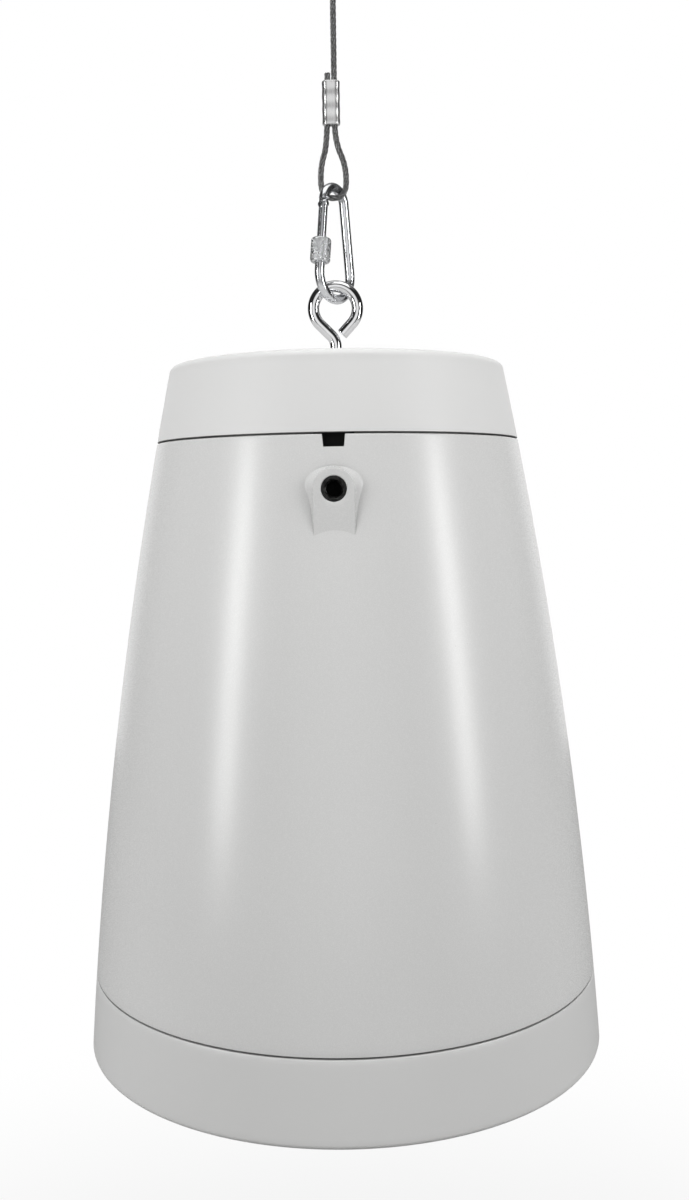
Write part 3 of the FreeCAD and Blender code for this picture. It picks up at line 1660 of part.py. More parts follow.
def tap_knob():
    """Fluted knob with a blind bore on the switch's shaft and a pointer ridge."""
    body = new_body("tap_knob")
    foot = deck_height + d.knob_foot
    top = foot + d.knob_height
    bore_top = deck_height + d.shaft_height + d.screw_clearance
    revolve(
        body,
        "knob",
        [
            (d.shaft_radius + d.knob_clearance, foot),
            (d.knob_radius, foot),
            (d.knob_radius * 0.88, top),
            (0, top),
            (0, bore_top),
            (d.shaft_radius + d.knob_clearance, bore_top),
        ],
    )
    flute = sketch_on(body, "flute_outline", "XY_Plane", off=top + d.bite)
    circle(flute, d.knob_radius * 1.12, 0, d.knob_radius * 0.2)
    cut = extrude(body, flute, d.knob_height * 0.8, "flute", subtract=True)
    repeat(body, [cut], d.knob_flutes, "flutes")
    pointer = sketch_on(body, "pointer_outline", "XY_Plane", off=top - d.bite)
    rectangle(pointer, -0.8, d.shaft_radius, 0.8, d.knob_radius * 0.8)
    extrude(body, pointer, size(1.8), "pointer")
    bind(body, "Placement.Base.x", d.switch_x)
    bind(body, "Placement.Base.y", d.switch_y)


# Line transformer under the deck: laminated core, wound bobbin and the strap that holds it.

core_top = deck_under - d.bracket_thickness
core_foot = core_top - d.core_height


def transformer_core():
    body = new_body("transformer_core")
    face = sketch_on(body, "lamination_outline")
    half = d.core_width / 2
    rectangle(face, -half, core_foot, half, core_top)
    limb = half / 4
    middle = (core_foot + core_top) / 2
    for side in (-1, 1):
        near = limb * side
        rectangle(
            face,
            near,
            middle - d.core_window_height / 2,
            near + d.core_window_width * side,
            middle + d.core_window_height / 2,
        )
    extrude(body, face, d.core_depth, "stack", both=True)


def transformer_coil():
    """Bobbin and winding through both windows of the core."""
    body = new_body("transformer_coil")
    half = d.core_width / 2
    limb = half / 4 + d.screw_clearance
    outer = half / 4 + d.core_window_width - d.screw_clearance
    middle = (core_foot + core_top) / 2
    high = d.core_window_height / 2 - d.screw_clearance
    ring = sketch_on(body, "winding_outline", "XY_Plane", off=middle - high)
    deep = d.coil_depth / 2
    stack = d.core_depth / 2 + d.screw_clearance
    rectangle(ring, -outer, -deep, outer, deep)
    rectangle(ring, -limb, -stack, limb, stack)
    extrude(body, ring, high * 2, "winding")


def transformer_bracket():
    """Steel strap round the core, with two ears screwed to the deck."""
    body = new_body("transformer_bracket")
    half = d.core_width / 2
    thick = d.bracket_thickness
    ear = half + d.bracket_ear
    face = sketch_on(body, "strap_outline")
    outline(
        face,
        [
            (-ear, deck_under - thick),
            (-half - thick, deck_under - thick),
            (-half - thick, core_foot - thick),
            (half + thick, core_foot - thick),
            (half + thick, deck_under - thick),
            (ear, deck_under - thick),
            (ear, deck_under),
            (half, deck_under),
            (half, core_foot),
            (-half, core_foot),
            (-half, deck_under),
            (-ear, deck_under),
        ],
    )
    extrude(body, face, d.core_depth * 0.6, "strap", both=True)
    holes = sketch_on(body, "hole_outline", "XY_Plane", off=deck_under)
    for x, y in bracket_places:
        circle(holes, x, y, d.screw_radius + d.screw_clearance)
    extrude(body, holes, d.bracket_thickness, "holes", subtract=True)


# Crossover board under the deck, hung on two posts.

board_top = deck_under - d.board_post
board_under = board_top - d.board_thickness


def crossover_board():
    body = new_body("crossover_board")
    face = sketch_on(body, "board_outline", "XY_Plane", across=d.board_x, off=board_top)
    half = d.board_width / 2
    deep = d.board_depth / 2
    rectangle(face, -half, d.board_y - deep, half, d.board_y + deep)
    for x, y in board_places:
        circle(face, x - d.board_x, y, d.screw_radius + d.screw_clearance)
    extrude(body, face, d.board_thickness, "board", flip=True)


def inductors():
    """Two wire-wound coils under the board: one for the cone and one for the dome."""
    body = new_body("inductors")
    coils = (
        (d.inductor_x, d.inductor_y, d.inductor_radius),
        (d.treble_inductor_x, d.treble_inductor_y, d.treble_inductor_radius),
    )
    ring = sketch_on(body, "coil_outline", "XY_Plane", off=board_under)
    for x, y, radius in coils:
        circle(ring, x, y, radius)
        circle(ring, x, y, radius * 0.45)
    extrude(body, ring, d.inductor_height, "coils", flip=True)


def capacitors():
    """Two film capacitors lying under the board, at right angles to each other."""
    body = new_body("capacitors")
    height = board_under - d.capacitor_radius
    bass = sketch_on(body, "bass_outline", off=-d.capacitor_y)
    circle(bass, d.capacitor_x, height, d.capacitor_radius)
    extrude(body, bass, d.capacitor_length, "bass_can", flip=True)
    treble = sketch_on(body, "treble_outline", "YZ_Plane", off=d.treble_capacitor_x)
    circle(treble, d.treble_capacitor_y, height, d.capacitor_radius)
    extrude(body, treble, d.treble_capacitor_length, "treble_can")


# Damping, the safety insert and the fasteners.


def damping_wadding():
    """A tapered sleeve of wadding that rests against the housing's ribs."""
    body = new_body("damping_wadding")
    inset = d.wall + d.rib_depth + d.wadding_clearance
    revolve(
        body,
        "sleeve",
        [
            (flank(d.wadding_foot) - inset - d.wadding_thickness, d.wadding_foot),
            (flank(d.wadding_foot) - inset, d.wadding_foot),
            (flank(wadding_top) - inset, wadding_top),
            (flank(wadding_top) - inset - d.wadding_thickness, wadding_top),
        ],
    )


def safety_insert():
    """Threaded brass insert in the side boss."""
    body = new_body("safety_insert")
    ring = sketch_on(body, "ring_outline", off=boss_face - d.recess_depth)
    circle(ring, 0, boss_height, d.insert_radius)
    circle(ring, 0, boss_height, d.insert_bore)
    extrude(body, ring, d.insert_length, "ring", flip=True)


def fasteners():
    grip = d.screw_grip
    joint = d.baffle_thickness + d.gasket_thickness + grip
    screws("cap_screws", cap_screw_places, well_floor, d.cap_screw_length, up=False)
    screws("plate_screws", plate_places, plate_top, d.plate_screw_length, up=False)
    screws("baffle_screws", baffle_screw_places, baffle_front, joint, up=True)
    ring_length = joint + d.ring_flange_thickness
    screws("ring_screws", ring_screw_places, ring_flange_under, ring_length, up=True)
    driver_length = d.flange_thickness + grip
    screws("driver_screws", plain_screw_places, flange_front, driver_length, up=True)
    bridge_seat = flange_front - d.bridge_thickness
    bridge_length = driver_length + d.bridge_thickness
    screws("bridge_screws", bridge_places, bridge_seat, bridge_length, up=True)
    bracket_seat = deck_under - d.bracket_thickness
    bracket_length = d.bracket_thickness + grip * 0.9
    screws("bracket_screws", bracket_places, bracket_seat, bracket_length, up=True)
    board_length = d.board_thickness + grip
    screws("board_screws", board_places, board_under, board_length, up=True)
    block_top = terminal_foot + d.terminal_height
    block_length = d.terminal_height + grip * 0.9
    head = d.terminal_foot_head
    screws("terminal_feet_screws", terminal_feet, block_top, block_length, up=False, head=head)


# Assembly

housing()
deck()
top_cap()
grille_ring()
grille()
grille_cloth()
baffle()
baffle_gasket()
port_tubes()
basket()
top_plate()
magnet()
pole_piece()
voice_coil()
cone()
surround()
dust_cap()
spider()
trim_gasket()
tweeter_bridge()
tweeter_body()
tweeter_dome()
tweeter_magnet()
hanging_plate()
eye_bolt()
eye_washers()
eye_nuts()
carabiner_body()
carabiner_gate()
gate_rivet()
lock_sleeve()
wire_rope()
ferrule("lower_ferrule", lower_ferrule_foot)
ferrule("upper_ferrule", upper_ferrule_foot)
terminal_block()
terminal_screws()
tap_switch()
tap_switch_nut()
tap_knob()
transformer_core()
transformer_coil()
transformer_bracket()
crossover_board()
inductors()
capacitors()
damping_wadding()
safety_insert()
fasteners()

doc.recompute()
for item in doc.Objects:
    if "Invalid" in item.State or "Error" in item.State:
        raise RuntimeError(f"{item.Label} failed: {item.State}")
os.makedirs("parts", exist_ok=True)
for name, part in parts.items():
    if part.Shape.isNull() or not part.Shape.isValid():
        raise RuntimeError(f"{name} has no valid shape")
    part.Shape.exportStep(f"parts/{name}.step")
    print(name, len(part.Shape.Solids), round(part.Shape.Volume / 1000, 2), "cm3")
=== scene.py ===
import math

import bmesh
import bpy
import numpy as np
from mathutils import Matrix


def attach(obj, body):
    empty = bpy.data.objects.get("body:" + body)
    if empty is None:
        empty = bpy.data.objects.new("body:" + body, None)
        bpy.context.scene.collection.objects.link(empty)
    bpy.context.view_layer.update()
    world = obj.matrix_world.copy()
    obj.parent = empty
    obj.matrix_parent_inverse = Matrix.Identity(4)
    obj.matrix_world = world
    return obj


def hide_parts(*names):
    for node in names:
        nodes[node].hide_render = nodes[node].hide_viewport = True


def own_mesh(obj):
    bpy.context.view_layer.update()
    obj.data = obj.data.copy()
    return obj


# Pendant ceiling speaker, hung from its wire rope. Metres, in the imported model's frame: the origin
# is where the rope's upper loop rests on its hook, the front with the cable notch faces -Y.

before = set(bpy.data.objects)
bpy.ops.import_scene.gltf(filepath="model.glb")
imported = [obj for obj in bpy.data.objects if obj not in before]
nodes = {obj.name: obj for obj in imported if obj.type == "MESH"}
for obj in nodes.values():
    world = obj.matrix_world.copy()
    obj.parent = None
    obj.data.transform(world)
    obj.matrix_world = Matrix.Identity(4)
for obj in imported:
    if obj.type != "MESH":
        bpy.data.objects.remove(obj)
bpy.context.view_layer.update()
MM = 0.001
HOOK_HEIGHT = 554.5


def level(height):
    """Height in metres in the frame, from millimetres above the housing's lower seam."""
    return (height - HOOK_HEIGHT) * MM


# Camera at the photograph's place: 637 mm in front of the speaker's axis and a little below its cap.
# The speaker hangs a little out of plumb in the picture, so the camera is rolled by that much,
# and it stands a little to the right of the boss, which the picture shows left of the middle.

CAMERA_DISTANCE = 636.9
CAMERA_HEIGHT = 235.1
CAMERA_PITCH = 4.499
CAMERA_YAW = -0.28
CAMERA_ROUND = 1.1
CAMERA_ROLL = 0.85
CAMERA_LENS = 37.27


def placed(name, data):
    """A new object of that data, linked into the scene."""
    made = bpy.data.objects.new(name, data)
    bpy.context.scene.collection.objects.link(made)
    return made


eye = bpy.data.cameras.new("camera")
eye.sensor_fit = "AUTO"
eye.sensor_width = 36.0
eye.lens = CAMERA_LENS
eye.clip_start = 0.01
eye.clip_end = 30.0
camera = placed("camera", eye)
round_axis = math.radians(CAMERA_ROUND)
camera.location = (
    CAMERA_DISTANCE * MM * math.sin(round_axis),
    -CAMERA_DISTANCE * MM * math.cos(round_axis),
    level(CAMERA_HEIGHT),
)
camera.rotation_mode = "XYZ"
camera.rotation_euler = (
    math.radians(90.0 - CAMERA_PITCH),
    math.radians(CAMERA_ROLL),
    math.radians(CAMERA_YAW + CAMERA_ROUND),
)
bpy.context.scene.camera = camera


# Wire rope: seven strands of bright galvanised wire laid up into a 3 mm rope, with a loop turned
# back and swaged at each end. It hangs taut from its upper loop, so it is one line through its route.

ROPE_STEP = 0.0004
ROPE_POINTS = (
    (-2.3, 448.0), (-2.3, 415.0), (-6.6, 402.2), (-6.0, 387.2), (6.0, 387.2),
    (6.6, 402.2), (1.0, 415.0), (1.0, 433.0), (1.0, 526.2), (7.6, 538.0),
    (6.2, 556.0), (-6.2, 556.0), (-7.6, 538.0), (-2.3, 526.2), (-2.3, 493.2),
)
STRANDS = 6
STRAND_RADIUS = 0.00052
STRAND_SIDES = 8
STRAND_CIRCLE = 0.00097
ROPE_LAY = 0.019


def material(name):
    """A new node material: (the material, its node tree, its Principled shader)."""
    made = bpy.data.materials.new(name)
    made.use_nodes = True
    return made, made.node_tree, made.node_tree.nodes["Principled BSDF"]


def feed(tree, node, inputs):
    """Sets a node's inputs by name or number: a socket is linked, anything else is the value."""
    for key, value in inputs.items():
        if isinstance(value, bpy.types.NodeSocket):
            tree.links.new(value, node.inputs[key])
        else:
            node.inputs[key].default_value = value


def add(tree, kind, inputs=None, **settings):
    """A node of that kind, its properties set by name and its inputs fed."""
    node = tree.nodes.new(kind)
    for key, value in settings.items():
        setattr(node, key, value)
    feed(tree, node, inputs or {})
    return node


def maths(tree, operation, *values):
    """A sum on values or sockets."""
    return add(tree, "ShaderNodeMath", dict(enumerate(values)), operation=operation).outputs["Value"]


def here(tree):
    """The object's own coordinates."""
    return add(tree, "ShaderNodeTexCoord").outputs["Object"]


def noise(tree, scale, detail, stretch=None, **more):
    """Noise in the object's own coordinates, which are first scaled by axis where stretch is given."""
    where = here(tree)
    if stretch:
        where = add(tree, "ShaderNodeMapping", {"Vector": where, "Scale": stretch}).outputs["Vector"]
    inputs = {"Vector": where, "Scale": scale, "Detail": detail, **more}
    return add(tree, "ShaderNodeTexNoise", inputs).outputs["Fac"]


def ramp(tree, source, *stops):
    """A colour ramp on source, its stops as (place, grey or colour)."""
    node = add(tree, "ShaderNodeValToRGB", {"Fac": source})
    while len(node.color_ramp.elements) < len(stops):
        node.color_ramp.elements.new(0.5)
    for element, (place, tone) in zip(node.color_ramp.elements, stops):
        element.position = place
        colour = (tone, tone, tone) if isinstance(tone, float) else tone
        element.color = (*colour, 1.0)
    return node.outputs["Color"]


def bump(tree, height, shader, strength, distance):
    """Feeds a height into the shader's normal."""
    node = add(tree, "ShaderNodeBump", {"Strength": strength, "Distance": distance, "Height": height})
    feed(tree, shader, {"Normal": node.outputs["Normal"]})


def stacked(*parts):
    """Points from their coordinates, each a number or an array, broadcast against each other."""
    return np.stack(np.broadcast_arrays(*parts), axis=-1)


def circle(steps):
    """Angles of a full turn in even steps, without the last."""
    return np.arange(steps) * 2 * np.pi / steps


def mesh_object(name, points, faces):
    """A smooth object at the origin from an array of points and a list of faces."""
    mesh = bpy.data.meshes.new(name)
    mesh.from_pydata(np.asarray(points, dtype=float), [], faces)
    mesh.validate()
    mesh.update()
    mesh.shade_smooth()
    return placed(name, mesh)


def grid_faces(rows, columns, wrap_rows=False, wrap_columns=False):
    """Quads of a rows by columns grid of points numbered row by row; wrap joins last to first."""
    row = np.arange(rows if wrap_rows else rows - 1)[:, None]
    column = np.arange(columns if wrap_columns else columns - 1)[None, :]
    this_row = row * columns
    next_row = (row + 1) % rows * columns
    after = (column + 1) % columns
    return stacked(this_row + column, this_row + after, next_row + after, next_row + column).reshape(-1, 4)


def shell_of(rings, capped=False):
    """Points and faces of a grid of rings: its last ring joined to its first, or both ends capped."""
    rows, sides = rings.shape[:2]
    faces = grid_faces(rows, sides, not capped, True).tolist()
    if capped:
        faces.append(list(range(sides))[::-1])
        faces.append(list(range((rows - 1) * sides, rows * sides)))
    return rings.reshape(-1, 3), faces


def line_of(curve_object):
    """The points that a curve without a bevel runs through."""
    mesh = bpy.data.meshes.new_from_object(curve_object)
    points = np.empty(len(mesh.vertices) * 3)
    mesh.vertices.foreach_get("co", points)
    bpy.data.meshes.remove(mesh)
    return points.reshape(-1, 3)


def distances(line):
    """How far along a line each of its points is."""
    return np.concatenate([[0.0], np.cumsum(np.linalg.norm(np.diff(line, axis=0), axis=1))])


def at_places(line, places):
    """Points of a line at those distances from its start, linear between its own."""
    along = distances(line)
    return stacked(*[np.interp(places, along, line[:, i]) for i in range(3)])


def tangents_of(line):
    """Unit tangents of a line of points."""
    tangents = np.gradient(line, axis=0)
    return tangents / np.linalg.norm(tangents, axis=1)[:, None]


def tube(points, radii, sides):
    """Rings of a tube round a line: centre + r (n cos a + b sin a), with n, b carried along it. The
    radius is one number, one for each ring, or one for each point of each ring."""
    tangents = tangents_of(points)
    normal = np.empty_like(points)
    guess = np.array([0.0, 1.0, 0.0]) if abs(tangents[0, 1]) < 0.9 else np.array([1.0, 0.0, 0.0])
    for i in range(len(points)):
        guess = guess - tangents[i] * np.dot(guess, tangents[i])
        guess /= np.linalg.norm(guess)
        normal[i] = guess
    other = np.cross(tangents, normal)
    angle = circle(sides)[None, :, None]
    radii = np.asarray(radii, dtype=float)
    radii = radii[:, :, None] if radii.ndim == 2 else np.broadcast_to(radii, len(points))[:, None, None]
    ring = normal[:, None, :] * np.cos(angle) + other[:, None, :] * np.sin(angle)
    return shell_of(points[:, None, :] + radii * ring, capped=True)


def joined(name, shells):
    """One object from several (points, faces) shells."""
    points = []
    faces = []
    start = 0
    for these, own in shells:
        points.append(these)
        faces.extend([[k + start for k in face] for face in own])
        start += len(these)
    return mesh_object(name, np.concatenate(points), faces)


rope_curve = bpy.data.curves.new("rope_line", "CURVE")
rope_curve.dimensions = "3D"
rope_curve.resolution_u = 24
spline = rope_curve.splines.new("NURBS")
spline.points.add(len(ROPE_POINTS) - 1)
for point, (x, height) in zip(spline.points, ROPE_POINTS):
    point.co = (x * MM, 0.0, level(height), 1.0)
spline.order_u = 3
spline.use_endpoint_u = True
rope_line = placed("rope_line", rope_curve)
sampled = line_of(rope_line)
bpy.data.objects.remove(rope_line)
rope_run = distances(sampled)[-1]
along = np.linspace(0.0, rope_run, int(rope_run / ROPE_STEP) + 2)
route = at_places(sampled, along)
rope_side = np.zeros_like(route) + [0.0, 1.0, 0.0]
rope_normal = np.cross(rope_side, tangents_of(route))
shells = [tube(route, STRAND_RADIUS, STRAND_SIDES)]
for strand in range(STRANDS):
    turn = (2 * np.pi * (along / ROPE_LAY + strand / STRANDS))[:, None]
    path = route + STRAND_CIRCLE * (rope_normal * np.cos(turn) + rope_side * np.sin(turn))
    shells.append(tube(path, STRAND_RADIUS, STRAND_SIDES))
rope = joined("rope_strands", shells)
rope_steel, tree, shader = material("galvanised_strands")
wires = noise(tree, 900.0, 3.0)
grime = ramp(tree, wires, (0.35, 0.11), (0.65, 0.27))
feed(tree, shader, {"Base Color": grime, "Metallic": 0.85, "Roughness": 0.38})
bump(tree, wires, shader, 0.4, 0.00005)
rope.data.materials.append(rope_steel)
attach(rope, "rope")
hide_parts("wire_rope")


# Housing: one tapered moulding of light grey ABS with a fine satin grain, 3 mm thick. The cable
# notch is left open in its upper rim, and the flat-faced boss on the front flares into the flank.

SEAM_RADIUS = 128.0
FLANK_BEND = 2560.0
FLANK_WIDEST = -222.0
SEAM_GAP = 0.8
CAP_SEAM = 265.4
WALL = 3.0
EDGE_ROUND = 0.35
BOSS_HEIGHT = 241.0
BOSS_FOOT = 223.0
BOSS_HALF = 9.1
BOSS_SIDE_REACH = 5.6
BOSS_TOP_REACH = 1.1
BOSS_DEPTH = 5.4
BOSS_COVE = 0.55
BOSS_FILLET = 0.5
BOSS_CROWN = 0.30
FACE_FALL = 3.0
RAY_TRIALS = 800
RAY_ROWS = 7
SKIN_ROWS = 12
BEFORE_EDGE = (-0.22, -0.1, 0.0)
AFTER_EDGE = (0.1, 0.22, 0.4)
WALL_LEAST = 0.5
WALL_LOOSE = 1.4
WALL_STOP = 0.6
FOOT_AFTER = (0.3, 0.7)
BLEND_FROM = 0.9
RECESS_RADIUS = 5.65
RECESS_DEPTH = 1.5
INSERT_RADIUS = 4.75
INSERT_DEPTH = 15.5
BORE_MARGIN = 0.1
CORE_RADIUS = 8.0
CORE_BORE = 4.9
CORE_START = 6.5
CORE_FLOOR = 15.7
CORE_END = 20.0
CORE_STEPS = 48
NEAR_AXIS = 0.001
NOTCH_HALF = 5.15
NOTCH_FOOT_HALF = 4.6
NOTCH_DEPTH = 5.6
NOTCH_STEPS = 22
DECK_UNDER = 251.0
SEAT_WIDTH = 3.0
WALL_KNEE = 128.0
LEDGE_TOP = 8.0
LEDGE_FOOT = 4.0
LEDGE_INNER = 106.0
WINDOW_HALF_ANGLE = 0.184
WINDOW_FOOT = 217.0
WINDOW_TOP = 255.0
BESIDE_NOTCH = 28
ROWS_BELOW = 59
ROWS_BESIDE = 69
FAR_STEPS = 236
RIBS = 6
RIB_DEPTH = 5.0
RIB_HALF = 1.0
POST_BORE = 1.6
POST_TOP = 16.0
POST_CIRCLES = ((111.0, 6, 30.0, 4.5), (121.0, 4, 45.0, 4.05))
OUT = np.array([1.0, 0.0])
UP = np.array([0.0, 1.0])


def flank(height):
    """Outer radius in mm: the seam's radius plus the drop of a 2560 mm arc about the widest height."""
    at_seam = math.sqrt(FLANK_BEND**2 - FLANK_WIDEST**2)
    return SEAM_RADIUS - at_seam + np.sqrt(FLANK_BEND**2 - (height - FLANK_WIDEST) ** 2)


def inside(height):
    """Radius in mm of the wall's inner face, where it follows the flank."""
    return flank(height) - WALL


def to_frame(points):
    """Millimetres with heights above the seam, to metres in the frame."""
    return (points - [0.0, 0.0, HOOK_HEIGHT]) * MM


def turned(angles, radius, height):
    """Points at radius and height, angles from the front and to the right: (r sin a, -r cos a, z)."""
    return to_frame(stacked(radius * np.sin(angles), -radius * np.cos(angles), height))


def rounded(radius, height, size, start, end, count=4):
    """A quarter round about its centre: centre + size (start cos t + end sin t)."""
    t = np.linspace(0.0, np.pi / 2, count)[:, None]
    return np.array([radius, height]) + size * (start * np.cos(t) + end * np.sin(t))


def window_edge(row_from, row_to, column_from, column_to):
    """Grid places round a rectangular window, in order: along its first row, up, back and down."""
    return np.concatenate(
        [
            stacked(row_from, np.arange(column_from, column_to)),
            stacked(np.arange(row_from, row_to), column_to),
            stacked(row_to, np.arange(column_to, column_from, -1)),
            stacked(np.arange(row_to, row_from, -1), column_from),
        ]
    )


def opened(faces, columns, window):
    """The faces of a grid whose rows are wrapped, without those inside the window."""
    row_from, row_to, column_from, column_to = window
    row = faces[:, 0] // columns
    column = faces[:, 0] % columns
    within = (row >= row_from) & (row < row_to) & (column >= column_from) & (column < column_to)
    return faces[~within]


def inlaid(rings, start, edge_numbers):
    """Faces that join rings of points, numbered from start, to each other and the last to an edge."""
    numbers = start + np.arange(rings.shape[0] * rings.shape[1]).reshape(rings.shape[:2])
    rows = [*numbers, edge_numbers]
    return np.concatenate(
        [stacked(a, np.roll(a, -1), np.roll(b, -1), b) for a, b in zip(rows[:-1], rows[1:])]
    )


def lathe(profile, steps, axis=(0.0, 0.0)):
    """A closed profile (radius, height) turned about an upright axis at x, y: a torus of quads."""
    profile = np.asarray(profile, dtype=float)
    spots = turned(circle(steps), profile[:, :1], profile[:, 1:])
    return shell_of(spots + [axis[0] * MM, axis[1] * MM, 0.0])


def solid(name, shells, degrees=32.0):
    """One object of those shells: what coincides is merged, faces are turned outwards and edges over
    that angle stay sharp."""
    piece = joined(name, shells)
    edit = bmesh.new()
    edit.from_mesh(piece.data)
    bmesh.ops.remove_doubles(edit, verts=edit.verts, dist=1e-7)
    bmesh.ops.dissolve_degenerate(edit, edges=edit.edges, dist=1e-7)
    bmesh.ops.recalc_face_normals(edit, faces=edit.faces)
    edit.to_mesh(piece.data)
    edit.free()
    piece.data.shade_smooth()
    piece.data.set_sharp_from_angle(angle=math.radians(degrees))
    return piece


def beyond_face(across, height):
    """How far in mm the boss has fallen back from its flat face's plane, negative inside the face.
    Outside the round-headed outline the side wall is a cove: depth sqrt(1 - (1 - u)^2), with u the
    distance from the outline over the wall's reach, which is wide at the sides and short at the head."""
    above = np.maximum(height - BOSS_HEIGHT, 0.0)
    away = np.hypot(across, above)
    share = above / np.maximum(away, 1e-6)
    wide = BOSS_HALF + BOSS_SIDE_REACH
    high = BOSS_HALF + BOSS_TOP_REACH
    reach = 1.0 / np.sqrt((1 - share**2) / wide**2 + share**2 / high**2) - BOSS_HALF
    u = (away - BOSS_HALF) / reach
    cove = np.sqrt(np.clip(1 - (1 - np.clip(u, 0.0, 1.0)) ** 2, 0.0, 1.0)) + np.maximum(u - 1, 0.0)
    fallen = BOSS_DEPTH * (BOSS_COVE * cove + (1 - BOSS_COVE) * u)
    return np.where(u > 0, fallen, (away - BOSS_HALF) * FACE_FALL)


def boss_front(across, height):
    """Distance in mm of the front surface from the axis plane: the higher of flank and boss, with a
    small round along the face's edge and another where the side walls meet the flank."""
    skin = np.sqrt(flank(height) ** 2 - across**2)
    fall = beyond_face(across, height)
    raised = flank(BOSS_FOOT) - (fall + np.sqrt(fall**2 + BOSS_CROWN**2)) / 2
    gap = raised - skin
    fillet = BOSS_FILLET / 2 * np.exp(-np.abs(gap) / BOSS_FILLET)
    return skin + (gap + np.sqrt(gap**2 + BOSS_FILLET**2)) / 2 - fillet


def boss_rings(ways, near_reach, far_reach):
    """Distances along each ray from the boss's centre, close together at the face's edge and at the
    foot of its side wall: where the face stops being proud, and where the side wall does."""
    trial = near_reach + (far_reach[None, :] - near_reach) * np.linspace(0.0, 1.0, RAY_TRIALS)[:, None]
    across = trial * ways[None, :, 0]
    height = BOSS_HEIGHT + trial * ways[None, :, 1]
    skin = np.sqrt(flank(height) ** 2 - across**2)
    fall = beyond_face(across, height)
    over_face = (fall > 0) | (skin > flank(BOSS_FOOT))
    over_wall = flank(BOSS_FOOT) - np.maximum(fall, 0.0) < skin
    column = np.arange(len(ways))
    face_end = trial[np.argmax(over_face, axis=0), column]
    wall_end = np.maximum(trial[np.argmax(over_wall, axis=0), column], face_end + WALL_LEAST)
    squeeze = np.minimum(1.0, (wall_end - face_end) / WALL_LOOSE)
    wall_from = face_end + AFTER_EDGE[-1] * squeeze
    wall_to = wall_end - WALL_STOP * squeeze
    skin_from = wall_end + FOOT_AFTER[-1]
    even_rows = np.linspace(0.0, 1.0, RAY_ROWS)[:, None]
    skin_rows = np.linspace(0.0, 1.0, SKIN_ROWS)[1:-1, None]
    return np.concatenate(
        [
            near_reach + (face_end - AFTER_EDGE[-1] - near_reach) * even_rows,
            face_end + np.array(BEFORE_EDGE)[:, None],
            face_end + squeeze * np.array(AFTER_EDGE)[:, None],
            wall_from + (wall_to - wall_from) * even_rows[1:],
            [wall_end - FOOT_AFTER[0] * squeeze, wall_end, wall_end + FOOT_AFTER[0], skin_from],
            skin_from + (far_reach - skin_from) * skin_rows,
        ]
    )


def wall_at(height):
    """Radius of the inner wall, which is straight from its knee up to the deck's seat."""
    seat = DECK_UNDER - SEAT_WIDTH
    return float(np.interp(height, (WALL_KNEE, seat), (inside(WALL_KNEE), inside(seat))))


def about_bore(radius, depth, across, up):
    """Points round the insert's bore, depth counted back from the boss's face."""
    return to_frame(stacked(radius * across, depth - boss_face, radius * up + BOSS_HEIGHT))


boss_face = float(flank(BOSS_FOOT))
housing_foot = SEAM_GAP / 2
housing_top = CAP_SEAM - SEAM_GAP / 2
notch_foot = housing_top - NOTCH_DEPTH
notch_angle = math.asin(NOTCH_FOOT_HALF / flank(notch_foot))
near = np.concatenate(
    [
        np.linspace(-WINDOW_HALF_ANGLE, -notch_angle, BESIDE_NOTCH),
        np.linspace(-notch_angle, notch_angle, NOTCH_STEPS),
        np.linspace(notch_angle, WINDOW_HALF_ANGLE, BESIDE_NOTCH),
    ]
)
far = np.linspace(WINDOW_HALF_ANGLE, 2 * np.pi - WINDOW_HALF_ANGLE, FAR_STEPS)[1:-1]
angles = np.concatenate([near, far])
in_notch = np.zeros(len(angles), dtype=bool)
in_notch[BESIDE_NOTCH : BESIDE_NOTCH + NOTCH_STEPS] = True
outer_heights = np.concatenate(
    [
        np.linspace(housing_foot + EDGE_ROUND, WINDOW_FOOT, ROWS_BELOW + 1)[:-1],
        np.linspace(WINDOW_FOOT, WINDOW_TOP, ROWS_BESIDE + 1)[:-1],
        np.linspace(WINDOW_TOP, notch_foot, 8)[:-1],
        np.linspace(notch_foot, housing_top - EDGE_ROUND, 10),
    ]
)
outer = stacked(flank(outer_heights), outer_heights)
top_round = rounded(flank(housing_top) - EDGE_ROUND, housing_top - EDGE_ROUND, EDGE_ROUND, OUT, UP)[1:]
foot_round = rounded(flank(housing_foot) - EDGE_ROUND, housing_foot + EDGE_ROUND, EDGE_ROUND, -UP, OUT)[:-1]
seat_foot = DECK_UNDER - SEAT_WIDTH
bore_top = BOSS_HEIGHT + INSERT_RADIUS + BORE_MARGIN
bore_foot = BOSS_HEIGHT - INSERT_RADIUS - BORE_MARGIN
inner = [
    (inside(housing_top), housing_top),
    (inside(notch_foot), notch_foot),
    (inside(DECK_UNDER), DECK_UNDER),
    (inside(DECK_UNDER) - SEAT_WIDTH, DECK_UNDER),
    (inside(DECK_UNDER) - SEAT_WIDTH, seat_foot),
    (inside(seat_foot), seat_foot),
    (wall_at(bore_top), bore_top),
    (wall_at(bore_foot), bore_foot),
    (inside(WALL_KNEE), WALL_KNEE),
    (inside(LEDGE_TOP), LEDGE_TOP),
    (LEDGE_INNER, LEDGE_TOP),
    (LEDGE_INNER, LEDGE_FOOT),
    (inside(LEDGE_FOOT), LEDGE_FOOT),
    (inside(LEDGE_FOOT), housing_foot),
]
profile = np.concatenate([foot_round, outer, top_round, np.array(inner)])
first_row = len(foot_round)
row_number = np.arange(len(profile))[:, None]
heights = np.where(in_notch, np.minimum(profile[:, 1:], notch_foot), profile[:, 1:])
cut_down = profile[:, 1:] > heights
radii = np.where(cut_down & (row_number < first_row + len(outer)), flank(notch_foot), profile[:, :1])
radii = np.where(cut_down & (row_number >= len(profile) - len(inner)), inside(notch_foot), radii)
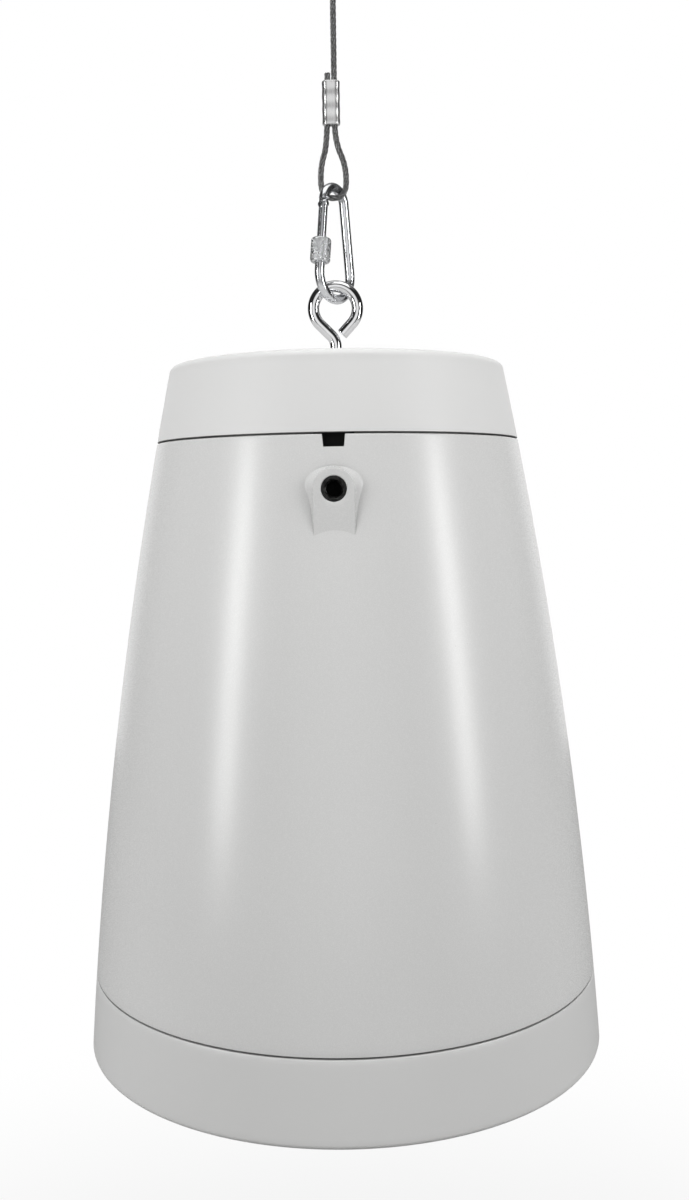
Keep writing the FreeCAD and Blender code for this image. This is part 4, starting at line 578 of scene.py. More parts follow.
side_reach = np.interp(profile[:, 1], (notch_foot, housing_top), (NOTCH_FOOT_HALF, NOTCH_HALF))
lean_out = np.arcsin(side_reach / flank(profile[:, 1])) - notch_angle
lean_out = np.where(profile[:, 1] > notch_foot, lean_out, 0.0)
signed = np.where(angles > np.pi, angles - 2 * np.pi, angles)
yielding = np.clip((WINDOW_HALF_ANGLE - np.abs(signed)) / (WINDOW_HALF_ANGLE - notch_angle), 0.0, 1.0)
yielding = np.where(in_notch, 0.0, yielding)
turns = angles + np.sign(signed) * lean_out[:, None] * yielding
shell = turned(turns, radii, heights)
rows, columns = shell.shape[:2]
window = (first_row + ROWS_BELOW, first_row + ROWS_BELOW + ROWS_BESIDE, 0, len(near) - 1)
faces = opened(grid_faces(rows, columns, wrap_rows=True, wrap_columns=True), columns, window)
bore_row = rows - len(inner) + inner.index((wall_at(bore_top), bore_top))
bore_columns = np.abs(np.sin(angles) * wall_at(BOSS_HEIGHT)) < INSERT_RADIUS + 0.6
beside_bore = bore_columns & np.roll(bore_columns, -1)
faces = faces[~((faces[:, 0] // columns == bore_row) & beside_bore[faces[:, 0] % columns])]
edge = window_edge(*window)
edge_numbers = edge[:, 0] * columns + edge[:, 1]
edge_points = shell.reshape(-1, 3)[edge_numbers]
from_centre = stacked(edge_points[:, 0] / MM, edge_points[:, 2] / MM + HOOK_HEIGHT - BOSS_HEIGHT)
edge_reach = np.linalg.norm(from_centre, axis=1)
ways = from_centre / edge_reach[:, None]
reaches = boss_rings(ways, RECESS_RADIUS + EDGE_ROUND, edge_reach)
patch_x = reaches * ways[:, 0]
patch_z = BOSS_HEIGHT + reaches * ways[:, 1]
blend_out = np.clip((reaches / edge_reach - BLEND_FROM) / (1.0 - BLEND_FROM), 0.0, 1.0)
depth = boss_front(patch_x, patch_z) * (1 - blend_out) + np.sqrt(flank(patch_z) ** 2 - patch_x**2) * blend_out
patch = to_frame(stacked(patch_x, -depth, patch_z))
hole_profile = np.concatenate(
    [
        [(NEAR_AXIS, INSERT_DEPTH), (INSERT_RADIUS, INSERT_DEPTH)],
        [(INSERT_RADIUS, RECESS_DEPTH), (RECESS_RADIUS, RECESS_DEPTH)],
        rounded(RECESS_RADIUS + EDGE_ROUND, EDGE_ROUND, EDGE_ROUND, -OUT, -UP)[:-1],
    ]
)
hole = about_bore(hole_profile[:, :1], hole_profile[:, 1:], ways[:, 0], ways[:, 1])
inlay = np.concatenate([hole, patch])
start = rows * columns
skin_points = np.concatenate([shell.reshape(-1, 3), inlay.reshape(-1, 3)])
skin_faces = np.concatenate([faces, inlaid(inlay, start, edge_numbers)]).tolist()
skin_faces.append(list(range(start, start + len(ways))))
core_profile = np.array(
    [
        (CORE_BORE, CORE_START),
        (CORE_RADIUS, CORE_START),
        (CORE_RADIUS, CORE_END),
        (NEAR_AXIS, CORE_END),
        (NEAR_AXIS, CORE_FLOOR),
        (CORE_BORE, CORE_FLOOR),
    ]
)
spin = circle(CORE_STEPS)
core = about_bore(core_profile[:, :1], core_profile[:, 1:], np.cos(spin), np.sin(spin))
shells = [(skin_points, skin_faces), shell_of(core)]
rib_levels = np.array([LEDGE_TOP, WALL_KNEE, DECK_UNDER])
rib_inner = stacked(inside(rib_levels) - RIB_DEPTH, rib_levels)
rib_edge = np.concatenate([rib_inner, (rib_inner + [RIB_DEPTH + 1.0, 0.0])[::-1]])
rib_faces = [[k, (k + 1) % 6, (k + 1) % 6 + 6, k + 6] for k in range(6)]
rib_faces += [[5, 4, 1, 0], [4, 3, 2, 1], [6, 7, 10, 11], [7, 8, 9, 10]]
for number in range(RIBS):
    bearing = math.radians(360.0 / RIBS * number)
    way = np.array([math.cos(bearing), math.sin(bearing)])
    off = RIB_HALF * np.array([-1.0, 1.0])[:, None]
    x = rib_edge[:, 0] * way[0] - way[1] * off
    y = rib_edge[:, 0] * way[1] + way[0] * off
    shells.append((to_frame(stacked(x, y, rib_edge[:, 1])).reshape(-1, 3), rib_faces))
for circle_radius, count, first, boss_radius in POST_CIRCLES:
    post_foot = LEDGE_TOP - 0.5
    post = [(POST_BORE, post_foot), (boss_radius, post_foot), (boss_radius, POST_TOP), (POST_BORE, POST_TOP)]
    for number in range(count):
        bearing = math.radians(first + 360.0 / count * number)
        spot = (circle_radius * math.cos(bearing), circle_radius * math.sin(bearing))
        shells.append(lathe(post, 24, spot))
housing = solid("housing_moulding", shells)
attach(housing, "speaker")
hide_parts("housing")


def moulded_grain():
    """Group: fine spark-eroded grain, its slow unevenness, and the few dark specks of the raw resin."""
    group = bpy.data.node_groups.new("moulded_grain", "ShaderNodeTree")
    for name, value in (("Grain Scale", 2600.0), ("Speck Scale", 190.0)):
        socket = group.interface.new_socket(name, in_out="INPUT", socket_type="NodeSocketFloat")
        socket.default_value = value
    for name in ("Grain", "Unevenness", "Specks"):
        group.interface.new_socket(name, in_out="OUTPUT", socket_type="NodeSocketFloat")
    entry = group.nodes.new("NodeGroupInput")
    cell_inputs = {"Vector": here(group), "Scale": entry.outputs["Speck Scale"], "Randomness": 1.0}
    cells = add(group, "ShaderNodeTexVoronoi", cell_inputs)
    chosen = add(group, "ShaderNodeSeparateColor", {"Color": cells.outputs["Color"]})
    small = maths(group, "LESS_THAN", cells.outputs["Distance"], 0.035)
    rare = maths(group, "GREATER_THAN", chosen.outputs["Red"], 0.93)
    results = {
        "Grain": noise(group, entry.outputs["Grain Scale"], 2.0, Roughness=0.6),
        "Unevenness": noise(group, 9.0, 3.0, Roughness=0.5),
        "Specks": maths(group, "MULTIPLY", small, rare),
    }
    add(group, "NodeGroupOutput", results)
    return group


grain_group = moulded_grain()


def moulded_plastic(name, tone, roughness, speck_share):
    """Moulded plastic: an even tone with slow unevenness, specks, and the grain in its bump. Creases
    are darkened by painted shade from an ambient-occlusion node."""
    made, tree, shader = material(name)
    pattern = add(tree, "ShaderNodeGroup", node_tree=grain_group).outputs
    base = ramp(tree, pattern["Unevenness"], (0.3, tuple(0.975 * t for t in tone)), (0.7, tone))
    specked = {
        "Factor": maths(tree, "MULTIPLY", pattern["Specks"], speck_share),
        "A": base,
        "B": (0.22, 0.21, 0.20, 1.0),
    }
    mixed = add(tree, "ShaderNodeMix", specked, data_type="RGBA")
    # Painted shade: an ambient-occlusion factor darkens the colour in creases and beside proud parts, such as
    # the boss's side walls.
    painted_crease_shade = add(tree, "ShaderNodeAmbientOcclusion", {"Distance": 0.016}, samples=8)
    shade = ramp(tree, painted_crease_shade.outputs["AO"], (0.50, 0.50), (0.95, 1.0))
    both = {"Factor": 1.0, "A": mixed.outputs["Result"], "B": shade}
    with_painted_shade = add(tree, "ShaderNodeMix", both, data_type="RGBA", blend_type="MULTIPLY")
    polish = ramp(tree, pattern["Grain"], (0.3, roughness - 0.03), (0.7, roughness + 0.03))
    feed(
        tree,
        shader,
        {"Base Color": with_painted_shade.outputs["Result"], "Roughness": polish, "Specular IOR Level": 0.42},
    )
    bump(tree, pattern["Grain"], shader, 0.10, 0.00006)
    return made


housing.data.materials.append(moulded_plastic("satin_grey_moulding", (0.600, 0.600, 0.595), 0.27, 0.45))


# Top cap: a moulded lid of the same light grey ABS that carries the flank on to a flat top. Three
# screws at the bottom of deep wells hold it to posts on the deck, and the eye bolt's stem passes it.

CAP_TOP = 303.2
CAP_EDGE = 4.0
CAP_CORNER = 0.5
STEM_HOLE = 5.5
CAP_POST_FOOT = 264.0
CAP_LIP_HEIGHT = 4.0
CAP_LIP_THICKNESS = 2.0
CAP_SCREW_CIRCLE = 62.0
WELL_RADIUS = 4.2
WELL_FLOOR = 267.0
WELL_ROUND = 0.5
WELL_BAND = 7.5
LIP_GAP = 0.3
POST_LAP = 0.4
POST_SINK = 0.5
BAND_ROWS = 15
ROWS_INSIDE_BAND = 8
WINDOW_DEGREES = 8
POST_RADIUS = 6.5
SCREW_HOLE = 1.8
CAP_RIB = ((11.0, -0.8, -6.0), (-4.5, 0.8, 0.5))


def swung(points, degrees):
    """Points turned about the upright axis."""
    c, s = math.cos(math.radians(degrees)), math.sin(math.radians(degrees))
    return points @ np.array([[c, s, 0.0], [-s, c, 0.0], [0.0, 0.0, 1.0]])


def box_shell(low, high, degrees):
    """The closed box between two corners in mm, turned about the upright axis."""
    pick = np.array([[0, 0, 0], [1, 0, 0], [1, 1, 0], [0, 1, 0], [0, 0, 1], [1, 0, 1], [1, 1, 1], [0, 1, 1]])
    faces = [[0, 3, 2, 1], [4, 5, 6, 7], [0, 1, 5, 4], [1, 2, 6, 5], [2, 3, 7, 6], [3, 0, 4, 7]]
    return to_frame(swung(low + (high - low) * pick, degrees)), faces


cap_foot = CAP_SEAM + SEAM_GAP / 2
ceiling = CAP_TOP - WALL
shoulder = CAP_TOP - CAP_EDGE
lip_outer = inside(cap_foot) - LIP_GAP
lip_inner = lip_outer - CAP_LIP_THICKNESS
rim = flank(shoulder) - CAP_EDGE
band_inner = CAP_SCREW_CIRCLE - WELL_BAND
band_outer = CAP_SCREW_CIRCLE + WELL_BAND
cap_heights = np.linspace(cap_foot + CAP_CORNER, shoulder, 16)
cap_profile = np.concatenate(
    [
        [(STEM_HOLE, ceiling)],
        rounded(STEM_HOLE + CAP_CORNER, CAP_TOP - CAP_CORNER, CAP_CORNER, -OUT, UP),
        stacked(np.linspace(9.0, band_inner, ROWS_INSIDE_BAND), CAP_TOP),
        stacked(np.linspace(band_inner, band_outer, BAND_ROWS + 1)[1:], CAP_TOP),
        stacked(np.linspace(band_outer, rim, 5)[1:-1], CAP_TOP),
        rounded(rim, shoulder, CAP_EDGE, UP, OUT, 10),
        stacked(flank(cap_heights), cap_heights)[::-1][1:],
        rounded(flank(cap_foot) - CAP_CORNER, cap_foot + CAP_CORNER, CAP_CORNER, OUT, -UP)[1:],
        [
            (lip_outer, cap_foot),
            (lip_outer, cap_foot - CAP_LIP_HEIGHT),
            (lip_inner, cap_foot - CAP_LIP_HEIGHT),
            (lip_inner, cap_foot + WALL),
            (inside(cap_foot + WALL), cap_foot + WALL),
            (inside(ceiling), ceiling),
        ],
    ]
)
cap_angles = circle(360)
cap_signed = np.where(cap_angles > np.pi, cap_angles - 2 * np.pi, cap_angles)
over_notch = np.abs(cap_signed) < 2 * NOTCH_HALF / lip_outer
cap_levels = np.where(over_notch, np.maximum(cap_profile[:, 1:], cap_foot), cap_profile[:, 1:])
cap_shell = turned(cap_angles, cap_profile[:, :1], cap_levels)
cap_rows, cap_columns = cap_shell.shape[:2]
band_row = 1 + 4 + ROWS_INSIDE_BAND - 1
well_rim = WELL_RADIUS + WELL_ROUND
well = np.concatenate(
    [
        [(SCREW_HOLE, CAP_POST_FOOT), (SCREW_HOLE, WELL_FLOOR), (WELL_RADIUS, WELL_FLOOR)],
        rounded(well_rim, CAP_TOP - WELL_ROUND, WELL_ROUND, -OUT, UP)[:-1],
    ]
)
post = [
    (WELL_RADIUS + POST_LAP, ceiling + POST_SINK),
    (POST_RADIUS, ceiling + POST_SINK),
    (POST_RADIUS, CAP_POST_FOOT),
    (SCREW_HOLE + 0.1, CAP_POST_FOOT),
    (SCREW_HOLE + 0.1, WELL_FLOOR - 0.2),
    (WELL_RADIUS + POST_LAP, WELL_FLOOR - 0.2),
]
top_shares = np.linspace(0.0, 1.0, 7)[:-1, None]
inset_levels = np.concatenate([well[:, 1:], np.full((len(top_shares), 1), CAP_TOP)])
cap_faces = grid_faces(cap_rows, cap_columns, wrap_rows=True, wrap_columns=True)
cap_points = [cap_shell.reshape(-1, 3)]
cap_parts = []
post_shells = []
for bearing in (180, 60, 300):
    hole_window = (band_row, band_row + BAND_ROWS, bearing - WINDOW_DEGREES, bearing + WINDOW_DEGREES)
    cap_faces = opened(cap_faces, cap_columns, hole_window)
    around_hole = window_edge(*hole_window)
    edge_numbers = around_hole[:, 0] * cap_columns + around_hole[:, 1]
    spot = CAP_SCREW_CIRCLE * np.array([math.sin(math.radians(bearing)), -math.cos(math.radians(bearing))])
    way = cap_points[0][edge_numbers, :2] / MM - spot
    reach = np.linalg.norm(way, axis=1)
    way /= reach[:, None]
    wall_reach = np.broadcast_to(well[:, :1], (len(well), len(way)))
    inset_reach = np.concatenate([wall_reach, well_rim + (reach - well_rim) * top_shares])
    inset_x = spot[0] + way[:, 0] * inset_reach
    inset_y = spot[1] + way[:, 1] * inset_reach
    inset = to_frame(stacked(inset_x, inset_y, inset_levels))
    cap_parts.append(inlaid(inset, sum(map(len, cap_points)), edge_numbers))
    cap_points.append(inset.reshape(-1, 3))
    post_shells.append(lathe(post, 32, tuple(spot)))
shells = [(np.concatenate(cap_points), np.concatenate([cap_faces] + cap_parts).tolist())] + post_shells
rib_low = np.array([0.0, 0.0, ceiling]) + CAP_RIB[0]
rib_high = np.array([flank(ceiling), 0.0, ceiling]) + CAP_RIB[1]
for degrees in (0.0, 90.0, 180.0, 270.0):
    shells.append(box_shell(rib_low, rib_high, degrees))
cap = solid("cap_moulding", shells)
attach(cap, "speaker")
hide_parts("top_cap")
cap.data.materials.append(moulded_plastic("matt_grey_lid", (0.640, 0.640, 0.635), 0.48, 0.35))


# Grille ring: the skin's lower band, moulded in the same ABS. Its flange is screwed up through the
# baffle, and the grille lies on the lip turned in at its foot.

RING_DEPTH = 39.1
RING_EDGE = 2.5
RING_CORNER = 0.4
RING_LIP_INNER = 119.0
RING_LIP = 2.4
RING_FLANGE_INNER = 117.5
RING_FLANGE = 3.0
LIP_CHAMFER = 0.3
BAFFLE_FRONT = -1.0

ring_top = -SEAM_GAP / 2
ring_foot = -RING_DEPTH
ring_heel = ring_foot + RING_EDGE
lip_top = ring_foot + RING_LIP
flange_foot = BAFFLE_FRONT - RING_FLANGE
ring_heights = np.linspace(ring_heel, ring_top - RING_CORNER, 16)
ring_profile = np.concatenate(
    [
        rounded(flank(ring_heel) - RING_EDGE, ring_heel, RING_EDGE, -UP, OUT, 10),
        stacked(flank(ring_heights), ring_heights)[1:],
        rounded(flank(ring_top) - RING_CORNER, ring_top - RING_CORNER, RING_CORNER, OUT, UP)[1:],
        [
            (inside(BAFFLE_FRONT), ring_top),
            (inside(BAFFLE_FRONT), BAFFLE_FRONT),
            (RING_FLANGE_INNER, BAFFLE_FRONT),
            (RING_FLANGE_INNER, flange_foot),
            (inside(flange_foot), flange_foot),
            (inside(lip_top), lip_top),
            (RING_LIP_INNER + LIP_CHAMFER, lip_top),
            (RING_LIP_INNER, lip_top - LIP_CHAMFER),
            (RING_LIP_INNER, ring_foot + LIP_CHAMFER),
            (RING_LIP_INNER + LIP_CHAMFER, ring_foot),
        ],
    ]
)
ring = solid("ring_moulding", [lathe(ring_profile, 360)])
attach(ring, "speaker")
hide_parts("grille_ring")
ring.data.materials.append(moulded_plastic("satin_grey_band", (0.590, 0.590, 0.585), 0.36, 0.40))


# Grille: a disc of 1 mm perforated steel with staggered holes, powder coated light grey. It lies on
# the ring's lip under the cloth, and a plain rim frames the field of holes.

GRILLE_PITCH = 4.2
GRILLE_HOLE = 1.45
GRILLE_FIELD = 111.5
GRILLE_RIM = 109.6
GRILLE_THICKNESS = 1.0
RIM_PROUD = 0.03

grille_edge = float(inside(lip_top)) - 0.4
row_pitch = GRILLE_PITCH * math.sqrt(3) / 2
reach = int(GRILLE_FIELD / row_pitch) + 2
count = np.arange(-reach, reach + 1)
row, step = np.meshgrid(count, count, indexing="ij")
spots = stacked((step + 0.5 * (row % 2)) * GRILLE_PITCH, row * row_pitch)
spots = spots[np.hypot(spots[..., 0], spots[..., 1]) < GRILLE_FIELD]
corner = np.radians(30.0 + 60.0 * np.arange(6))
hexagon = stacked(np.cos(corner), np.sin(corner))
outside = spots[:, None, :] + hexagon * GRILLE_PITCH / math.sqrt(3)
opening = spots[:, None, :] + hexagon * GRILLE_HOLE
low, high = lip_top, lip_top + GRILLE_THICKNESS
layers = [(outside, low), (opening, low), (opening, high), (outside, high)]
cell = to_frame(np.stack([stacked(flat[..., 0], flat[..., 1], z) for flat, z in layers], axis=1))
base = np.arange(len(spots))[:, None, None] * 24 + np.arange(3)[None, :, None] * 6
side = np.arange(6)
after = (side + 1) % 6
cell_faces = stacked(base + side, base + after, base + 6 + after, base + 6 + side).reshape(-1, 4)
low, high = low - RIM_PROUD, high + RIM_PROUD
rim_profile = [(GRILLE_RIM, low), (grille_edge, low), (grille_edge, high), (GRILLE_RIM, high)]
grille = solid("perforated_grille", [(cell.reshape(-1, 3), cell_faces.tolist()), lathe(rim_profile, 180)])
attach(grille, "speaker")
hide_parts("grille")
powder, tree, shader = material("grey_powder_coat")
peel = noise(tree, 1500.0, 2.0)
coat = ramp(tree, peel, (0.3, (0.54, 0.54, 0.53)), (0.7, (0.60, 0.60, 0.59)))
feed(tree, shader, {"Base Color": coat, "Roughness": 0.55})
bump(tree, peel, shader, 0.3, 0.0001)
grille.data.materials.append(powder)


# Safety insert: a black nickel-plated threaded bush pressed into the boss's core. Its front ring
# lies on the floor of the recess, and an eight-millimetre thread runs down its bore.

BORE_CREST = 3.4
THREAD_DEPTH = 0.62
THREAD_PITCH = 1.25
MOUTH_CHAMFER = 0.5
INSERT_SLACK = 0.04
BUSH_FLOOR = 1.0
BUSH_STEPS = 48

turn = circle(BUSH_STEPS)
thread_end = INSERT_DEPTH - BUSH_FLOOR
thread_root = BORE_CREST + THREAD_DEPTH
down_bore = np.arange(RECESS_DEPTH + MOUTH_CHAMFER, thread_end, THREAD_PITCH / 10)
wave = np.abs(2 * ((down_bore[:, None] / THREAD_PITCH - turn / (2 * np.pi)) % 1.0) - 1)
thread_radius = BORE_CREST + THREAD_DEPTH * np.clip(1.3 * wave - 0.15, 0.0, 1.0)
bush_profile = np.array(
    [
        (BORE_CREST + 0.1, thread_end),
        (NEAR_AXIS, thread_end),
        (NEAR_AXIS, INSERT_DEPTH - INSERT_SLACK),
        (INSERT_RADIUS - INSERT_SLACK, INSERT_DEPTH - INSERT_SLACK),
        (INSERT_RADIUS - INSERT_SLACK, RECESS_DEPTH - INSERT_SLACK),
        (RECESS_RADIUS - INSERT_SLACK, RECESS_DEPTH - INSERT_SLACK),
        (RECESS_RADIUS - INSERT_SLACK, RECESS_DEPTH - 0.8),
        (RECESS_RADIUS - 0.2, RECESS_DEPTH - 0.9),
        (thread_root + 0.55, RECESS_DEPTH - 0.9),
        (thread_root + 0.15, RECESS_DEPTH - 0.4),
        (thread_root + 0.02, RECESS_DEPTH),
    ]
)
bush_radius = np.concatenate([np.repeat(bush_profile[:, :1], BUSH_STEPS, axis=1), thread_radius])
bush_depth = np.concatenate([bush_profile[:, 1], down_bore])[:, None]
bush = about_bore(bush_radius, bush_depth, np.cos(turn), np.sin(turn))
insert = solid("threaded_bush", [shell_of(bush)])
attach(insert, "speaker")
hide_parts("safety_insert")
dark_nickel, tree, shader = material("dark_nickel")
tarnish = noise(tree, 700.0, 4.0)
to_axis = {0: here(tree), 1: (0.0, 0.0, level(BOSS_HEIGHT))}
from_axis = add(tree, "ShaderNodeVectorMath", to_axis, operation="SUBTRACT").outputs["Vector"]
facing = {0: from_axis, 1: (1.0, 0.0, 1.0)}
flat_part = add(tree, "ShaderNodeVectorMath", facing, operation="MULTIPLY").outputs["Vector"]
radial = add(tree, "ShaderNodeVectorMath", {0: flat_part}, operation="LENGTH").outputs["Value"]
scaled = maths(tree, "MULTIPLY", radial, 100.0)
# The light ring round the bore's mouth, 4.0 to 4.55 mm from the axis, is partly wear and partly a painted
# glint.
wear_and_glint = {
    "Factor": ramp(tree, scaled, (0.398, 0.0), (0.415, 0.55), (0.435, 0.55), (0.455, 0.0)),
    "A": ramp(tree, tarnish, (0.35, 0.015), (0.7, 0.05)),
    "B": (0.6, 0.6, 0.58, 1.0),
}
mixed = add(tree, "ShaderNodeMix", wear_and_glint, data_type="RGBA")
# Painted shade: from 0.6 mm behind the recess floor the colour darkens to near black down the bore, where
# little light reaches.
down = {
    "Value": add(tree, "ShaderNodeSeparateXYZ", {"Vector": here(tree)}).outputs["Y"],
    "From Min": (RECESS_DEPTH + 0.6 - boss_face) * MM,
    "From Max": (RECESS_DEPTH + 2.0 - boss_face) * MM,
}
painted_bore_shade = {
    "Factor": add(tree, "ShaderNodeMapRange", down).outputs["Result"],
    "A": mixed.outputs["Result"],
    "B": (0.003, 0.003, 0.003, 1.0),
}
bore_with_painted_shade = add(tree, "ShaderNodeMix", painted_bore_shade, data_type="RGBA").outputs["Result"]
dull = ramp(tree, tarnish, (0.3, 0.28), (0.7, 0.45))
feed(tree, shader, {"Base Color": bore_with_painted_shade, "Roughness": dull, "Metallic": 1.0})
insert.data.materials.append(dark_nickel)


# Eye bolt: one 6 mm round rod, threaded at its foot and bent to an open eye whose cut tail stops
# just short of the stem. Polished bright steel.

ROD_RADIUS = 3.0
ROD_STEPS = 28
ROD_ROUND = 0.5
EYE_RADIUS = 11.1
EYE_CENTRE = 332.6
EYE_SHOULDER = 8.0
EYE_GAP_ANGLE = 43.0
EYE_TAIL = 7.4
STEM_END = 254.8
STEM_THREAD = 34.0
STEM_PITCH = 1.0
STEM_GROOVE = 0.3


def arc(centre, radius, start, end):
    """Points on an arc in the XZ plane: centre + radius (cos a, sin a), a in degrees."""
    angle = np.radians(np.linspace(start, end, int(abs(end - start) / 2) + 2))
    return stacked(centre[0] + radius * np.cos(angle), 0.0, centre[1] + radius * np.sin(angle))


def closer_at_ends(length, edge, step):
    """Distances along a line of that length, a step apart, closer where its ends are rounded."""
    close = edge * (1 - np.cos(np.linspace(0.0, np.pi / 2, 6)))
    middle = np.linspace(edge, length - edge, int(length / step) + 2)[1:-1]
    return np.concatenate([close, middle, length - close[::-1]])


def rounded_radius(places, radius, edge):
    """Rod radius with rounded ends: radius - edge + sqrt(edge^2 - (edge - s)^2), s from the end."""
    nearest = np.clip(np.minimum(places, places[-1] - places), 0.0, edge)
    return radius - edge + np.sqrt(edge**2 - (edge - nearest) ** 2)


cut_way = math.radians(EYE_GAP_ANGLE)
cut = np.array([EYE_RADIUS * math.cos(cut_way), 0.0, EYE_CENTRE - EYE_RADIUS * math.sin(cut_way)])
tail = cut - EYE_TAIL * np.array([math.sin(cut_way), 0.0, math.cos(cut_way)])
bend_start = EYE_CENTRE - EYE_RADIUS * math.sqrt(2) - EYE_SHOULDER * math.tan(math.radians(22.5))
bolt_line = np.concatenate(
    [
        [(0.0, 0.0, STEM_END)],
        arc((-EYE_SHOULDER, bend_start), EYE_SHOULDER, 0.0, 45.0),
        arc((0.0, EYE_CENTRE), EYE_RADIUS, 225.0, -EYE_GAP_ANGLE),
        [tail],
    ]
)
places = closer_at_ends(distances(bolt_line)[-1], ROD_ROUND, 0.5)
fine = np.arange(0.6, STEM_THREAD, STEM_PITCH / 8)
places = np.concatenate([places[places < ROD_ROUND], fine, places[places >= STEM_THREAD]])
wave = np.abs(2 * ((places[:, None] / STEM_PITCH - np.arange(ROD_STEPS) / ROD_STEPS) % 1.0) - 1)
grooved = (places[:, None] < STEM_THREAD - 0.5) & (places[:, None] > 0.5)
groove = np.where(grooved, STEM_GROOVE * wave, 0.0)
bolt_radius = rounded_radius(places, ROD_RADIUS, ROD_ROUND)[:, None] - groove
bolt = solid("bent_rod", [tube(to_frame(at_places(bolt_line, places)), bolt_radius * MM, ROD_STEPS)], 40.0)
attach(bolt, "speaker")
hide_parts("eye_bolt")


def bright_metal(name, tone, smoothest, roughest, scratch_scale, dents):
    """Plated or polished steel: slightly clouded tone, uneven polish, fine scratches in the bump."""
    made, tree, shader = material(name)
    cloud = noise(tree, 160.0, 4.0)
    scratch = noise(tree, scratch_scale, 3.0, stretch=(1.0, 1.0, 0.12))
    shade = ramp(tree, cloud, (0.3, tuple(0.9 * t for t in tone)), (0.7, tone))
    polish = ramp(tree, cloud, (0.3, smoothest), (0.75, roughest))
    feed(tree, shader, {"Base Color": shade, "Roughness": polish, "Metallic": 1.0})
    bump(tree, scratch, shader, dents, 0.00004)
    return made


bolt.data.materials.append(bright_metal("polished_rod", (0.80, 0.80, 0.81), 0.05, 0.14, 2500.0, 0.05))


# Carabiner: a pear of 5 mm round steel wire, zinc plated, its tongue flattened for the gate's fork.
# The gate turns on a rivet near the narrow end, and a knurled sleeve holds it to the nose.

HOOK_WIRE = 2.5
HOOK_STEPS = 32
HOOK_ROUND = 0.4
HOOK_TURN = 52.0
FOOT_CENTRE = 349.3
FOOT_BEND = 12.1
TOP_CENTRE = 384.2
TOP_BEND = 8.0
PIVOT_DROP = 2.2
TONGUE_HALF = 1.0
TONGUE_REACH = 2.4
TONGUE_LOW = 6.5
TONGUE_HIGH = 2.9
GATE_RADIUS = 2.3
GATE_LENGTH = 22.6
NOSE_GAP = 0.4
FORK_FOOT = 3.6
FORK_HALF = 1.15
FORK_STEPS = 16
RIVET_HEAD = 1.5
RIVET_CROWN = 0.5
RIVET_PIN = 0.9

lean = (FOOT_BEND - TOP_BEND) / (TOP_CENTRE - FOOT_CENTRE)
upright = math.sqrt(1 - lean**2)
slant = math.degrees(math.asin(lean))
pivot_x = -TOP_BEND * upright - PIVOT_DROP * lean
pivot_z = TOP_CENTRE + TOP_BEND * lean - PIVOT_DROP * upright


def gate_line(points):
    """Points about the gate's own axis, its origin at the rivet: tilted by the slant, then set in
    the carabiner's own upright plane."""
    tilted = points @ np.array([[upright, 0.0, -lean], [0.0, 1.0, 0.0], [lean, 0.0, upright]])
    return to_frame(swung(tilted + [pivot_x, 0.0, pivot_z], HOOK_TURN))


def down_the_gate(distance):
    """The point that far from the rivet along the gate, in the carabiner's plane."""
    return (pivot_x - lean * distance, 0.0, pivot_z - upright * distance)


wire_line = np.concatenate(
    [
        [down_the_gate(TONGUE_REACH)],
        arc((0.0, TOP_CENTRE), TOP_BEND, 180.0 - slant, slant),
        arc((0.0, FOOT_CENTRE), FOOT_BEND, slant, -180.0 - slant),
        [down_the_gate(GATE_LENGTH + NOSE_GAP)],
    ]
)
places = closer_at_ends(distances(wire_line)[-1], HOOK_ROUND, 0.45)
wire_radius = rounded_radius(places, HOOK_WIRE, HOOK_ROUND)
wire, wire_faces = tube(at_places(wire_line, places), wire_radius, HOOK_STEPS)
near_pivot = (wire[:, 0] < 0) & (wire[:, 2] < pivot_z + TONGUE_HIGH) & (wire[:, 2] > pivot_z - TONGUE_LOW)
wire[:, 1] = np.where(near_pivot, np.clip(wire[:, 1], -TONGUE_HALF, TONGUE_HALF), wire[:, 1])
hook = solid("hook_wire", [(to_frame(swung(wire, HOOK_TURN)), wire_faces)])
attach(hook, "carabiner")
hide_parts("carabiner_body")
zinc = bright_metal("bright_zinc", (0.74, 0.75, 0.77), 0.16, 0.30, 1400.0, 0.12)
hook.data.materials.append(zinc)

gate_profile = np.array(
    [
        (NEAR_AXIS, -GATE_LENGTH),
        (GATE_RADIUS - 0.3, -GATE_LENGTH),
        (GATE_RADIUS, -GATE_LENGTH + 0.3),
        (GATE_RADIUS, -FORK_FOOT),
        (NEAR_AXIS, -FORK_FOOT),
    ]
)
around = circle(HOOK_STEPS)
radius, rise = gate_profile[:, :1], gate_profile[:, 1:]
rings = [stacked(radius * np.cos(around), radius * np.sin(around), rise)]
open_angle = math.asin(FORK_HALF / GATE_RADIUS)
cheek = np.linspace(open_angle, np.pi - open_angle, FORK_STEPS)
rise = np.concatenate([[-FORK_FOOT - 0.05], np.linspace(0.0, 1.0, 9) * GATE_RADIUS])[:, None]
width = np.sqrt(np.clip(1 - (np.maximum(rise, 0.0) / (GATE_RADIUS + 0.02)) ** 2, 0.0, 1.0))
for side in (-1.0, 1.0):
    rings.append(stacked(GATE_RADIUS * np.cos(cheek) * width, side * GATE_RADIUS * np.sin(cheek), rise))
gate_shells = [shell_of(gate_line(ring), capped=True) for ring in rings]
for _, prong_faces in gate_shells[1:]:
    prong_faces[-2:] = [face[::-1] for face in prong_faces[-2:]]
gate = solid("gate_rod", gate_shells)
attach(gate, "carabiner")
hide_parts("carabiner_gate")
gate.data.materials.append(zinc)

